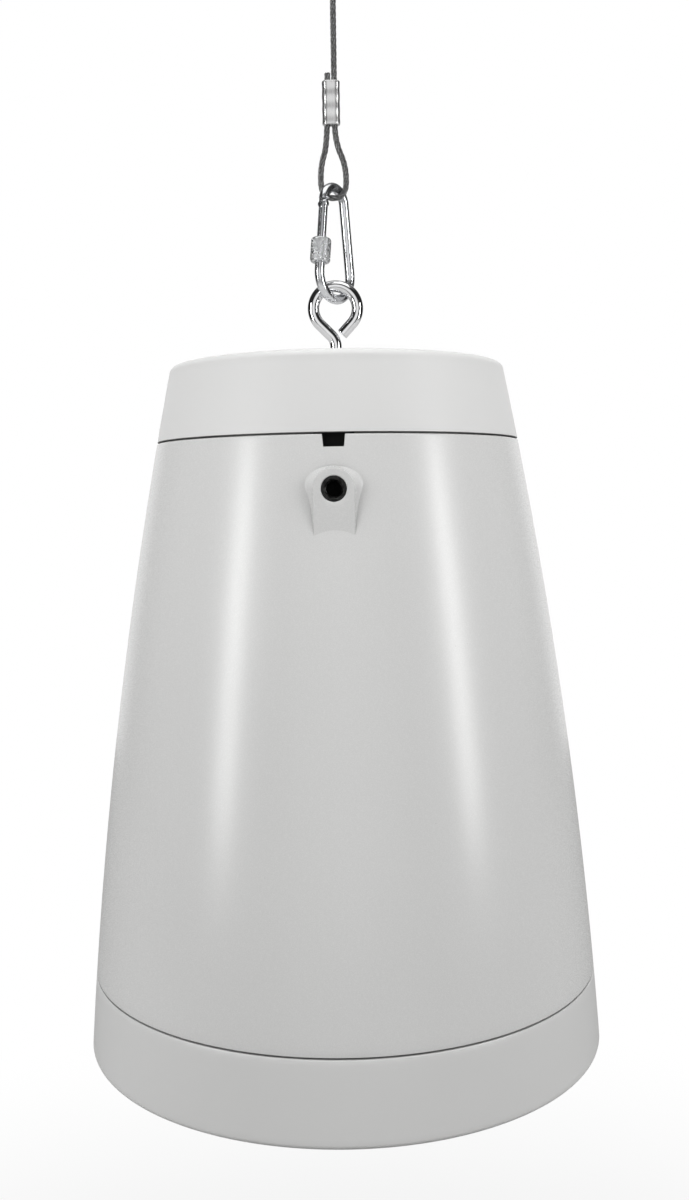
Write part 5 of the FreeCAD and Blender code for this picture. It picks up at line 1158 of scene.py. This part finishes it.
crown = np.linspace(0.0, np.pi / 2, 6)
rivet_profile = np.concatenate(
    [
        stacked(RIVET_HEAD * np.sin(crown), GATE_RADIUS + RIVET_CROWN * np.cos(crown)),
        [(RIVET_HEAD, GATE_RADIUS - 0.2), (RIVET_PIN, GATE_RADIUS - 0.2)],
    ]
)
rivet_profile = np.concatenate([rivet_profile, rivet_profile[::-1] * [1.0, -1.0]])
spin = circle(24)
radius = rivet_profile[:, :1]
rivet_rings = gate_line(stacked(radius * np.cos(spin), rivet_profile[:, 1:], radius * np.sin(spin)))
rivet_faces = grid_faces(len(rivet_profile), len(spin), wrap_columns=True).tolist()
rivet = solid("gate_pin", [(rivet_rings.reshape(-1, 3), rivet_faces)], 50.0)
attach(rivet, "carabiner")
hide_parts("gate_rivet")
rivet.data.materials.append(zinc)


# Lock sleeve: a turned steel nut with a diamond knurl between two plain collars. Screwed down, it
# covers the joint between gate and nose.

SLEEVE_START = 17.4
SLEEVE_LENGTH = 11.8
SLEEVE_RADIUS = 5.1
SLEEVE_BORE = 2.75
COLLAR = 1.0
COLLAR_RADIUS = 4.9
KNURLS = 24
KNURL_DEPTH = 0.38

turn = circle(KNURLS * 8)
sleeve_foot = -SLEEVE_START - SLEEVE_LENGTH
knurl_rise = np.linspace(sleeve_foot + COLLAR, -SLEEVE_START - COLLAR, 65)
around = KNURLS * turn / (2 * np.pi)
upward = knurl_rise[:, None] / (2 * np.pi * SLEEVE_RADIUS / KNURLS)
one_way = np.abs(2 * ((around + upward) % 1.0) - 1)
other_way = np.abs(2 * ((around - upward) % 1.0) - 1)
knurl_radius = SLEEVE_RADIUS - KNURL_DEPTH * np.maximum(one_way, other_way)
plain = np.array(
    [
        (SLEEVE_BORE, sleeve_foot + 0.3),
        (SLEEVE_BORE + 0.3, sleeve_foot),
        (SLEEVE_RADIUS - 0.7, sleeve_foot),
        (COLLAR_RADIUS, sleeve_foot + 0.5),
        (COLLAR_RADIUS, sleeve_foot + COLLAR - 0.1),
    ]
)
mirrored = (plain * [1.0, -1.0] + [0.0, 2 * sleeve_foot + SLEEVE_LENGTH])[::-1]
collars = [np.repeat(half[:, :1], len(turn), axis=1) for half in (plain, mirrored)]
sleeve_radius = np.concatenate([collars[0], knurl_radius, collars[1]])
sleeve_rise = np.concatenate([plain[:, 1], knurl_rise, mirrored[:, 1]])[:, None]
nut = gate_line(stacked(sleeve_radius * np.cos(turn), sleeve_radius * np.sin(turn), sleeve_rise))
sleeve = solid("knurled_nut", [shell_of(nut)], 50.0)
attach(sleeve, "sleeve")
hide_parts("lock_sleeve")
sleeve.data.materials.append(bright_metal("knurled_zinc", (0.70, 0.71, 0.72), 0.20, 0.36, 1200.0, 0.15))


# Swaged ferrules: oval aluminium sleeves pressed over both runs of the rope, with rounded ends and
# the faint waists that the press's jaws leave.

FERRULE_LENGTH = 21.6
FERRULE_OUTER = 2.9
FERRULE_BORE = 1.55
FERRULE_ROUND = 0.8
FERRULE_MOUTH = 0.3
RUN_PITCH = 3.3
FERRULE_MIDDLE = -0.65
FERRULE_BITE = 0.13
BITES = 3
FERRULE_FEET = {"lower_ferrule": 422.6, "upper_ferrule": 497.0}

half_turn = np.linspace(-np.pi / 2, np.pi / 2, 21)
oval = np.concatenate([half_turn, half_turn + np.pi])
oval_centre = np.repeat([RUN_PITCH / 2, -RUN_PITCH / 2], 21)
corner = np.linspace(0.0, np.pi / 2, 7)
straight = np.linspace(FERRULE_ROUND, FERRULE_LENGTH - FERRULE_ROUND, 60)
bite_share = (straight - straight[0]) / (straight[-1] - straight[0])
bites = FERRULE_BITE * (0.5 - 0.5 * np.cos(2 * np.pi * BITES * bite_share))
foot_corner = stacked(
    FERRULE_OUTER - FERRULE_ROUND * (1 - np.sin(corner)), FERRULE_ROUND * (1 - np.cos(corner))
)
mouth = np.array([(FERRULE_BORE, 0.35), (FERRULE_BORE + FERRULE_MOUTH, 0.0)])
foot_half = np.concatenate([mouth, foot_corner[:-1]])
top_half = np.concatenate([mouth, foot_corner]) * [1.0, -1.0] + [0.0, FERRULE_LENGTH]
ferrule_profile = np.concatenate([foot_half, stacked(FERRULE_OUTER - bites, straight), top_half[::-1][1:]])
radius = ferrule_profile[:, :1]
aluminium, tree, shader = material("pressed_aluminium")
streaks = noise(tree, 1600.0, 3.0, stretch=(1.0, 1.0, 0.06))
drawn = ramp(tree, streaks, (0.3, 0.72), (0.7, 0.86))
rubbed = ramp(tree, streaks, (0.3, 0.24), (0.7, 0.38))
feed(tree, shader, {"Base Color": drawn, "Roughness": rubbed, "Metallic": 1.0})
bump(tree, streaks, shader, 0.2, 0.00004)
for node_name, foot in FERRULE_FEET.items():
    x = FERRULE_MIDDLE + oval_centre + radius * np.cos(oval)
    rings = to_frame(stacked(x, radius * np.sin(oval), ferrule_profile[:, 1:] + foot))
    ferrule = solid(f"pressed_{node_name}", [shell_of(rings)])
    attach(ferrule, "rope")
    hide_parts(node_name)
    ferrule.data.materials.append(aluminium)


# Deck: a second moulding of the same grey ABS inside the flank. It carries the hanging plate, the
# terminals and the tap switch, and the transformer is screwed to its underside.


def dress(finish, *names):
    """Gives carried-over nodes one finish through their objects' own material slots."""
    for name in names:
        for place in nodes[name].material_slots:
            place.link = "OBJECT"
            place.material = finish


dress(moulded_plastic("deck_grey", (0.52, 0.52, 0.51), 0.38, 0.40), "deck")


# Black mouldings: glass-filled plastic of the baffle, its ports, the tweeter's bridge and face, the
# terminal block, the tap switch and its knob, with a coarser matt skin than the housing's.

black_moulding = moulded_plastic("black_moulding", (0.020, 0.020, 0.021), 0.42, 0.06)
dress(black_moulding, "baffle", "port_tubes", "tweeter_bridge", "tweeter_body")
dress(black_moulding, "terminal_block", "tap_switch", "tap_knob")


# Fasteners: zinc-plated steel screws, nuts and washers, turned from their heads with a driver. The
# hanging plate and the transformer's strap are cut from galvanised sheet with a duller skin.

plated = bright_metal("zinc_plated", (0.70, 0.71, 0.73), 0.20, 0.36, 1800.0, 0.08)
dress(plated, "eye_washers", "eye_nuts", "terminal_screws", "terminal_feet_screws", "tap_switch_nut")
dress(plated, "cap_screws", "plate_screws", "baffle_screws", "ring_screws", "driver_screws")
dress(plated, "bridge_screws", "bracket_screws", "board_screws")
galvanised = bright_metal("galvanised_plate", (0.60, 0.61, 0.62), 0.32, 0.50, 900.0, 0.12)
dress(galvanised, "hanging_plate", "transformer_bracket")


# Driver's hard parts: a pressed steel basket in black enamel, passivated yoke plates, sintered
# ferrite rings glued between them, and the tweeter's own small magnet.


def mottled(name, dark, light, scale, roughness, relief):
    """An uneven skin: one noise gives two tones, two roughnesses and the relief."""
    made, tree, shader = material(name)
    patches = noise(tree, scale, 4.0)
    shade = ramp(tree, patches, (0.35, dark), (0.65, light))
    polish = ramp(tree, patches, (0.3, roughness[0]), (0.7, roughness[1]))
    feed(tree, shader, {"Base Color": shade, "Roughness": polish})
    bump(tree, patches, shader, relief, 0.0001)
    return made


enamel = mottled("black_enamel", (0.016, 0.016, 0.017), (0.024, 0.024, 0.025), 420.0, (0.28, 0.38), 0.06)
dress(enamel, "basket")
yoke = bright_metal("passivated_yoke", (0.56, 0.55, 0.50), 0.28, 0.45, 1200.0, 0.10)
dress(yoke, "top_plate", "pole_piece")
ferrite = mottled(
    "sintered_ferrite", (0.030, 0.030, 0.031), (0.052, 0.051, 0.050), 1100.0, (0.60, 0.78), 0.18
)
dress(ferrite, "magnet", "tweeter_magnet")


# Windings and laminations: enamelled copper wire wound in close turns on the voice coil, the
# transformer and the crossover's inductors, and thin steel sheets stacked edge to edge.

WAVES = 0.314
LINE_PITCH = 0.0005


def banded(tree, direction, pitch, distortion, **more):
    """Parallel bands a fixed pitch apart across one axis."""
    inputs = {"Vector": here(tree), "Scale": WAVES / pitch, "Distortion": distortion, "Detail": 1.0, **more}
    bands = add(tree, "ShaderNodeTexWave", inputs, wave_type="BANDS", bands_direction=direction)
    return bands.outputs["Fac"]


def lined(name, dark, light, direction, roughness, metallic):
    """Fine parallel lines across one axis: turns of wire, or the edges of stacked sheets."""
    made, tree, shader = material(name)
    lines = banded(tree, direction, LINE_PITCH, 0.5, **{"Detail Scale": 0.3})
    shade = ramp(tree, lines, (0.15, dark), (0.7, light))
    feed(tree, shader, {"Base Color": shade, "Roughness": roughness, "Metallic": metallic})
    bump(tree, lines, shader, 0.35, 0.00015)
    return made


copper = lined("enamelled_copper", (0.22, 0.07, 0.03), (0.66, 0.28, 0.12), "Z", 0.30, 0.85)
dress(copper, "voice_coil", "transformer_coil", "inductors")
sheets = lined("stacked_laminations", (0.045, 0.045, 0.048), (0.15, 0.15, 0.155), "Y", 0.45, 0.60)
dress(sheets, "transformer_core")


# Crossover: a glass-fibre board under green lacquer, and film capacitors wrapped in yellow tape
# with their ends sealed, soldered flat on its underside.

lacquer = mottled(
    "green_lacquer", (0.012, 0.075, 0.030), (0.018, 0.100, 0.042), 1300.0, (0.28, 0.42), 0.05
)
dress(lacquer, "crossover_board")
tape = mottled("yellow_film_wrap", (0.60, 0.38, 0.05), (0.70, 0.46, 0.08), 260.0, (0.24, 0.36), 0.05)
dress(tape, "capacitors")


# Cone: one pressed sheet of dark paper pulp, curved, thicker at its neck and stiffened by fine
# concentric ribs. It is glued to the coil's former at its neck and to the rubber roll at its rim.

CONE_NECK = 13.15
CONE_MIDDLE = 30.0
CONE_RIM = 52.0
CONE_EDGE = 55.0
CONE_NECK_HEIGHT = 13.5
CONE_MIDDLE_HEIGHT = 3.5
CONE_RIM_HEIGHT = -4.2
CONE_NECK_THICKNESS = 1.8
CONE_THICKNESS = 0.9
CONE_RIBS_FROM = 18.0
CONE_RIBS_TO = 48.0
CONE_RIB_PITCH = 4.4
CONE_RIB_HEIGHT = 0.22

cone_radii = np.linspace(CONE_NECK, CONE_RIM, 100)
cone_places = (CONE_NECK, CONE_MIDDLE, CONE_RIM)
bend = np.polyfit(cone_places, (CONE_NECK_HEIGHT, CONE_MIDDLE_HEIGHT, CONE_RIM_HEIGHT), 2)
rib_share = np.clip(np.minimum(cone_radii - CONE_RIBS_FROM, CONE_RIBS_TO - cone_radii) / 2.0, 0.0, 1.0)
rib = CONE_RIB_HEIGHT * rib_share * np.maximum(0.0, np.sin(cone_radii * 2 * np.pi / CONE_RIB_PITCH)) ** 2
cone_front = np.polyval(bend, cone_radii) + rib
thicknesses = (CONE_NECK_THICKNESS, CONE_THICKNESS, CONE_THICKNESS)
cone_back = cone_front + np.interp(cone_radii, cone_places, thicknesses)
cone_profile = np.concatenate(
    [
        stacked(cone_radii, cone_front),
        [(CONE_EDGE, CONE_RIM_HEIGHT), (CONE_EDGE, CONE_RIM_HEIGHT + CONE_THICKNESS)],
        stacked(cone_radii, cone_back)[::-1],
    ]
)
cone = solid("pulp_cone", [lathe(cone_profile, 192)], 50.0)
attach(cone, "cone_assembly")
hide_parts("cone")
pulp = mottled("paper_pulp", (0.022, 0.022, 0.023), (0.055, 0.054, 0.052), 850.0, (0.74, 0.90), 0.35)
cone.data.materials.append(pulp)


# Surround: a half roll of butyl rubber with a flat land on each side, glued over the cone's rim and
# to the basket's flange.

ROLL_CENTRE = 61.6
ROLL_HALF_WIDTH = 5.6
ROLL_DEPTH = 6.6
ROLL_THICKNESS = 0.9
INNER_LAND = -4.68
INNER_LAND_RADII = (52.0, 55.7)
OUTER_LAND = -3.47
OUTER_LAND_RADII = (67.6, 73.5)


def sheet_profile(middle, thickness):
    """A closed profile either side of a line of (radius, height), half the thickness away each way."""
    along = tangents_of(middle)
    off = stacked(along[:, 1], -along[:, 0]) * thickness / 2
    return np.concatenate([middle + off, (middle - off)[::-1]])


swing = np.linspace(0.0, np.pi, 40)
roll_radius = ROLL_CENTRE - ROLL_HALF_WIDTH * np.cos(swing)
roll_ends = (ROLL_CENTRE - ROLL_HALF_WIDTH, ROLL_CENTRE + ROLL_HALF_WIDTH)
roll_base = np.interp(roll_radius, roll_ends, (INNER_LAND, OUTER_LAND))
roll_line = np.concatenate(
    [
        stacked(np.linspace(*INNER_LAND_RADII, 6), INNER_LAND),
        stacked(roll_radius, roll_base - ROLL_DEPTH * np.sin(swing)),
        stacked(np.linspace(*OUTER_LAND_RADII, 6), OUTER_LAND),
    ]
)
roll = solid("rubber_roll", [lathe(sheet_profile(roll_line, ROLL_THICKNESS), 192)], 50.0)
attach(roll, "speaker")
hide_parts("surround")
rubber = mottled("butyl_rubber", (0.014, 0.014, 0.015), (0.021, 0.021, 0.022), 500.0, (0.42, 0.56), 0.06)
roll.data.materials.append(rubber)


# Spider: a disc of phenolic-dipped cotton pressed into fine corrugations, glued to the basket's
# shelf and close round the coil's former.

SPIDER_INNER = 14.1
SPIDER_OUTER = 39.5
SPIDER_WAVE = 4.4
SPIDER_SWELL = 0.50
SPIDER_THICKNESS = 0.55
WAVES_FROM = 14.5
WAVES_TO = 37.0


def woven(name, dark, light, pitch, roughness, relief):
    """Plain weave: two sets of bands at right angles cross as warp and weft, with uneven yarn."""
    made, tree, shader = material(name)
    yarn = noise(tree, 900.0, 3.0)
    crossing = maths(tree, "MULTIPLY", *[banded(tree, direction, pitch, 0.3) for direction in "XY"])
    frayed = maths(tree, "MULTIPLY_ADD", yarn, 0.35, crossing)
    shade = ramp(tree, frayed, (0.15, dark), (0.85, light))
    feed(tree, shader, {"Base Color": shade, "Roughness": roughness, "Sheen Weight": 0.15})
    bump(tree, frayed, shader, relief, 0.0002)
    return made


spider_radii = np.linspace(SPIDER_INNER, SPIDER_OUTER, 110)
swell_share = np.minimum(spider_radii - WAVES_FROM, WAVES_TO - spider_radii) / 2.0
swell = SPIDER_SWELL * np.clip(swell_share, 0.0, 1.0) * np.sin(spider_radii * 2 * np.pi / SPIDER_WAVE)
spider_line = stacked(spider_radii, np.interp(spider_radii, (WAVES_FROM, WAVES_TO), (16.6, 18.4)) + swell)
web = solid("corrugated_web", [lathe(sheet_profile(spider_line, SPIDER_THICKNESS), 160)], 50.0)
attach(web, "speaker")
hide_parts("spider")
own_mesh(web)
web.data.materials.append(woven("dipped_cotton", (0.30, 0.17, 0.06), (0.56, 0.36, 0.15), 0.0007, 0.75, 0.40))


# Dust cap: a shallow dome of dark felted cloth glued over the coil's mouth.

DUST_RADIUS = 15.65
DUST_FRONT = 6.0
DUST_RISE = 4.5
DUST_THICKNESS = 0.9

dome_radii = np.linspace(NEAR_AXIS, DUST_RADIUS, 24)
dome_front = stacked(dome_radii, DUST_FRONT + DUST_RISE * (dome_radii / DUST_RADIUS) ** 2)
dome_profile = np.concatenate([dome_front, (dome_front + [0.0, DUST_THICKNESS])[::-1]])
felt_dome = solid("felt_dome", [lathe(dome_profile, 96)], 50.0)
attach(felt_dome, "cone_assembly")
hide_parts("dust_cap")
felt = woven("dark_felt", (0.012, 0.012, 0.013), (0.034, 0.034, 0.035), 0.0006, 0.95, 0.25)
felt_dome.data.materials.append(felt)


# Tweeter dome: a doped silk dome pressed in one piece, standing forward of the face plate's horn.

SILK_RADIUS = 12.2
SILK_RISE = 5.5
SILK_FOOT = -14.0
SILK_THICKNESS = 0.4

from_top = np.linspace(0.0, np.pi / 2, 24)
silk_front, silk_back = (
    stacked(
        (SILK_RADIUS - inset) * np.sin(from_top) + NEAR_AXIS,
        SILK_FOOT - (SILK_RISE - inset) * np.cos(from_top),
    )
    for inset in (0.0, SILK_THICKNESS)
)
silk = solid("silk_dome", [lathe(np.concatenate([silk_front, silk_back[::-1]]), 96)], 60.0)
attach(silk, "speaker")
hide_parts("tweeter_dome")
doped = woven("doped_silk", (0.020, 0.020, 0.022), (0.045, 0.045, 0.048), 0.0004, 0.55, 0.12)
silk.data.materials.append(doped)


# Gaskets: closed-cell foam rings, one squeezed between the baffle and the housing's ledge, one
# glued over the rubber roll's outer land. Their cut edges bulge a little and show the cells.

FOAM_EDGE = 0.9
FOAM_WAVER = 0.1
FOAM_STEPS = 256


def foam_ring(name, inner, outer, low, high):
    """A flat ring whose edges are rounded and whose outline wavers by a tenth of a millimetre."""
    half = (high - low) / 2
    middle = (high + low) / 2
    bend = np.linspace(-np.pi / 2, np.pi / 2, 8)
    edge = min(half, FOAM_EDGE)
    outer_edge = stacked(outer - edge + edge * np.cos(bend), middle + half * np.sin(bend))
    inner_edge = stacked(inner + edge - edge * np.cos(bend), middle - half * np.sin(bend))
    spots, faces = lathe(np.concatenate([outer_edge, inner_edge]), FOAM_STEPS)
    bearing = np.arctan2(spots[:, 1], spots[:, 0])
    waver = (0.5 + 0.5 * np.sin(bearing * 17.0) * np.cos(bearing * 5.0)) * FOAM_WAVER / outer
    is_outer = np.hypot(spots[:, 0], spots[:, 1]) > (inner + outer) / 2 * MM
    spots[:, :2] *= np.where(is_outer, 1.0 - waver, 1.0 + waver)[:, None]
    return solid(name, [(spots, faces)], 50.0)


foam = mottled("closed_cell_foam", (0.030, 0.030, 0.032), (0.085, 0.085, 0.088), 1600.0, (0.80, 0.95), 0.60)
baffle_edge = inside(LEDGE_FOOT) - 0.6
for name, node_name, inner, outer, low, high in (
    ("baffle_foam", "baffle_gasket", 107.5, baffle_edge, 3.0, 4.0),
    ("trim_foam", "trim_gasket", 69.2, 73.5, -5.9, -3.9),
):
    foam_piece = foam_ring(name, inner, outer, low, high)
    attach(foam_piece, "speaker")
    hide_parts(node_name)
    foam_piece.data.materials.append(foam)


# Grille cloth: a disc of black acoustic knit stretched flat behind the perforated steel and glued
# at its rim. It gives a little between its fixings.

CLOTH_FOOT = -35.65
CLOTH_THICKNESS = 0.45
CLOTH_RIPPLE = 0.12

cloth_edge = grille_edge - 0.8
cloth_radii = np.concatenate([[NEAR_AXIS], np.linspace(1.5, cloth_edge, 60)])
cloth_front = stacked(cloth_radii, CLOTH_FOOT)
cloth_profile = np.concatenate([cloth_front, (cloth_front + [0.0, CLOTH_THICKNESS])[::-1]])
cloth_spots, cloth_faces = lathe(cloth_profile, 180)
x, y = cloth_spots[:, 0], cloth_spots[:, 1]
reach_out = np.hypot(x, y) / (cloth_edge * MM)
ripple = 0.5 + 0.25 * (np.sin(x * 95.0) + np.cos(y * 80.0 + x * 30.0))
cloth_spots[:, 2] += CLOTH_RIPPLE * MM * ripple * np.clip(1.0 - reach_out**6, 0.0, 1.0)
cloth = solid("acoustic_cloth", [(cloth_spots, cloth_faces)], 50.0)
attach(cloth, "speaker")
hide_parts("grille_cloth")
knit = woven("acoustic_knit", (0.008, 0.008, 0.009), (0.032, 0.032, 0.034), 0.0009, 0.92, 0.45)
cloth.data.materials.append(knit)


# Damping: a batt of white polyester wadding, cut as a strip and rolled into a sleeve that stands
# against the housing's ribs. It is lumpy, its cut ends meet at the back and its edges are soft.

BATT_FOOT = 60.0
BATT_TOP = 190.0
BATT_INSET = 9.5
BATT_THICKNESS = 9.0
BATT_EDGE = 3.5
BATT_LUMP = 0.30
BATT_ROWS = 46
BATT_STEPS = 300
BATT_JOINT_WIDTH = 0.020
BATT_JOINT_DEPTH = 0.45
LUMPS = ((9.0, 0.11, 0.0, 1.0), (23.0, -0.07, 1.3, 1.0), (41.0, 0.23, 2.1, 0.6), (5.0, 0.31, 0.4, 1.0))

edge_turn = np.linspace(0.0, np.pi / 2, 7)
half_thick = BATT_THICKNESS / 2
rise_low = BATT_FOOT + BATT_EDGE
rise_high = BATT_TOP - BATT_EDGE
rim_in = half_thick - BATT_EDGE
batt_side = np.linspace(rise_low, rise_high, BATT_ROWS)
c, s = BATT_EDGE * np.cos(edge_turn), BATT_EDGE * np.sin(edge_turn)
batt_outline = np.concatenate(
    [
        stacked(half_thick, batt_side),
        stacked(rim_in + c, rise_high + s)[1:],
        stacked(-rim_in - s, rise_high + c),
        stacked(-half_thick, batt_side[::-1])[1:],
        stacked(-rim_in - c, rise_low - s)[1:],
        stacked(rim_in + s, rise_low - c)[:-1],
    ]
)
batt_angle = circle(BATT_STEPS)
depth = batt_outline[:, :1]
rise = batt_outline[:, 1:]
lumps = sum(
    share * np.sin(batt_angle * waves_round + rise * slope + phase)
    for waves_round, slope, phase, share in LUMPS
)
lump_share = 0.5 + lumps / 7.2
off_joint = np.abs((batt_angle - np.pi / 2 + np.pi) % (2 * np.pi) - np.pi)
joint_share = 1.0 - BATT_JOINT_DEPTH * np.exp(-((off_joint / BATT_JOINT_WIDTH) ** 2))
thickness_share = (1.0 - BATT_LUMP * lump_share) * joint_share
batt_radius = flank(rise) - BATT_INSET - half_thick + depth * thickness_share
batt_middle = (BATT_FOOT + BATT_TOP) / 2
batt_height = batt_middle + (rise - batt_middle) * (1.0 - 0.012 * lump_share)
batt = solid("rolled_batt", [shell_of(turned(batt_angle, batt_radius, batt_height))], 70.0)
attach(batt, "speaker")
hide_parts("damping_wadding")
fibres, tree, shader = material("polyester_batt")
wisps = noise(tree, 700.0, 8.0, Distortion=1.6)
together = maths(tree, "MULTIPLY_ADD", wisps, 0.5, noise(tree, 60.0, 3.0))
fleece = ramp(tree, together, (0.45, (0.62, 0.62, 0.60)), (0.95, (0.80, 0.80, 0.78)))
feed(tree, shader, {"Base Color": fleece, "Roughness": 1.0, "Sheen Weight": 0.3})
bump(tree, together, shader, 0.8, 0.0006)
batt.data.materials.append(fibres)


# Studio: a pale floor well below the hanging speaker, a white world that only the camera and
# mirrors see, and soft panels that give the two long highlights on the housing's flank.

FLOOR_HEIGHT = -420.0
FLOOR_HALF = 3.0
AMBIENT_LOW = 0.24
AMBIENT_HIGH = 0.66
FLAG_TONE = 0.02
FLOOR_IN_METAL = 0.12
TOP_CARD = 0.30
LEFT_AZIMUTH = -53.5
RIGHT_AZIMUTH = 60.5
SIDE_DISTANCE = 1.3
STRIP_HEIGHT = 385.0
STRIP = (0.18, 0.74, 5.6)
FILL_HEIGHT = 640.0
FILL = (0.5, 0.62, 7.0)
BOX_SIDE = 1.15
BOX_FRONT = -0.45
BOX_HEIGHT = 950.0
BOX_AIM = 250.0
BOX = (0.7, 0.7, 4.0)
OVERHEAD_FRONT = -0.35
OVERHEAD_HEIGHT = 1500.0
OVERHEAD_AIM = 200.0
OVERHEAD = (1.2, 1.2, 6.0)
HORIZON = (-0.4, 0.9)
BACK_CARD = (0.60, 0.86)
TOP_CARD_EDGE = (0.70, 0.92)
FRONT_CARD = (-0.97, -0.84)
WHITE = (1.0, 1.0, 1.0, 1.0)


def eased(tree, source, low, high, from_value, to_value):
    """A value that eases from one level to another as source goes from low to high."""
    ends = {"From Min": low, "From Max": high, "To Min": from_value, "To Max": to_value}
    inputs = {"Value": source, **ends}
    return add(tree, "ShaderNodeMapRange", inputs, interpolation_type="SMOOTHSTEP").outputs["Result"]


def panel(name, where, aim, width, height, power):
    """A soft rectangular lamp at where, facing aim."""
    light = bpy.data.lights.new(name, "AREA")
    light.shape = "RECTANGLE"
    light.size = width
    light.size_y = height
    light.energy = power
    lamp = placed(name, light)
    lamp.location = where
    way = np.array(aim, dtype=float) - np.array(where, dtype=float)
    lamp.rotation_mode = "XYZ"
    lamp.rotation_euler = (math.atan2(math.hypot(way[0], way[1]), -way[2]), 0.0, math.atan2(-way[0], way[1]))
    return lamp


corners = FLOOR_HALF * np.array([(-1, -1, 0), (1, -1, 0), (1, 1, 0), (-1, 1, 0)], dtype=float)
floor = mesh_object("floor", corners + [0, 0, level(FLOOR_HEIGHT)], [[0, 1, 2, 3]])
pale, tree, shader = material("studio_floor")
feed(tree, shader, {"Base Color": (0.30, 0.30, 0.296, 1.0), "Roughness": 0.9})
level_out = add(tree, "ShaderNodeVectorMath", {0: here(tree), 1: (1.0, 1.0, 0.0)}, operation="MULTIPLY")
spread = add(tree, "ShaderNodeVectorMath", {0: level_out.outputs["Vector"]}, operation="LENGTH")
away = eased(tree, spread.outputs["Value"], 0.1, 0.9, 0.75, 1.0)
ray = add(tree, "ShaderNodeLightPath").outputs
mirrored = maths(tree, "MULTIPLY", ray["Is Glossy Ray"], FLOOR_IN_METAL)
seen = maths(tree, "MAXIMUM", ray["Is Camera Ray"], mirrored)
white = add(tree, "ShaderNodeEmission", {"Color": WHITE, "Strength": 1.0}).outputs["Emission"]
two = {"Fac": maths(tree, "MULTIPLY", seen, away), 1: shader.outputs["BSDF"], 2: white}
mixed = add(tree, "ShaderNodeMixShader", two).outputs["Shader"]
feed(tree, tree.nodes["Material Output"], {"Surface": mixed})
floor.data.materials.append(pale)

world = bpy.data.worlds.new("studio")
bpy.context.scene.world = world
world.use_nodes = True
tree = world.node_tree
looking = add(tree, "ShaderNodeTexCoord").outputs["Generated"]
way = add(tree, "ShaderNodeSeparateXYZ", {"Vector": looking}).outputs
ambient = eased(tree, way["Z"], *HORIZON, AMBIENT_LOW, AMBIENT_HIGH)
back_card = eased(tree, way["Y"], *BACK_CARD, FLAG_TONE, 1.0)
top_card = eased(tree, way["Z"], *TOP_CARD_EDGE, FLAG_TONE, TOP_CARD)
front_card = eased(tree, way["Y"], *FRONT_CARD, 1.0, FLAG_TONE)
cards = maths(tree, "MAXIMUM", front_card, maths(tree, "MAXIMUM", back_card, top_card))
ray = add(tree, "ShaderNodeLightPath").outputs
by_ray = {"Factor": ray["Is Glossy Ray"], "A": ambient, "B": cards}
strength = add(tree, "ShaderNodeMix", by_ray, data_type="FLOAT").outputs["Result"]
ground = tree.nodes["Background"]
feed(tree, ground, {"Color": WHITE, "Strength": strength})
backdrop = add(tree, "ShaderNodeBackground", {"Color": WHITE, "Strength": 1.0})
two = {"Fac": ray["Is Camera Ray"], 1: ground.outputs["Background"], 2: backdrop.outputs["Background"]}
mixed = add(tree, "ShaderNodeMixShader", two).outputs["Shader"]
feed(tree, tree.nodes["World Output"], {"Surface": mixed})

lit = (0.0, 0.0, level(STRIP_HEIGHT))
for azimuth, name in ((LEFT_AZIMUTH, "left_strip"), (RIGHT_AZIMUTH, "right_strip")):
    turn = math.radians(azimuth)
    x, y = SIDE_DISTANCE * math.sin(turn), -SIDE_DISTANCE * math.cos(turn)
    panel(name, (x, y, level(STRIP_HEIGHT)), lit, *STRIP).visible_diffuse = False
    panel(f"{name}_fill", (x, y, level(FILL_HEIGHT)), lit, *FILL).visible_glossy = False
for side, name in ((-1.0, "left_box"), (1.0, "right_box")):
    where = (side * BOX_SIDE, BOX_FRONT, level(BOX_HEIGHT))
    box = panel(name, where, (0.0, 0.0, level(BOX_AIM)), *BOX)
    box.visible_glossy = False
above = (0.0, OVERHEAD_FRONT, level(OVERHEAD_HEIGHT))
panel("overhead", above, (0.0, 0.0, level(OVERHEAD_AIM)), *OVERHEAD)

bpy.context.scene.view_settings.view_transform = "Standard"
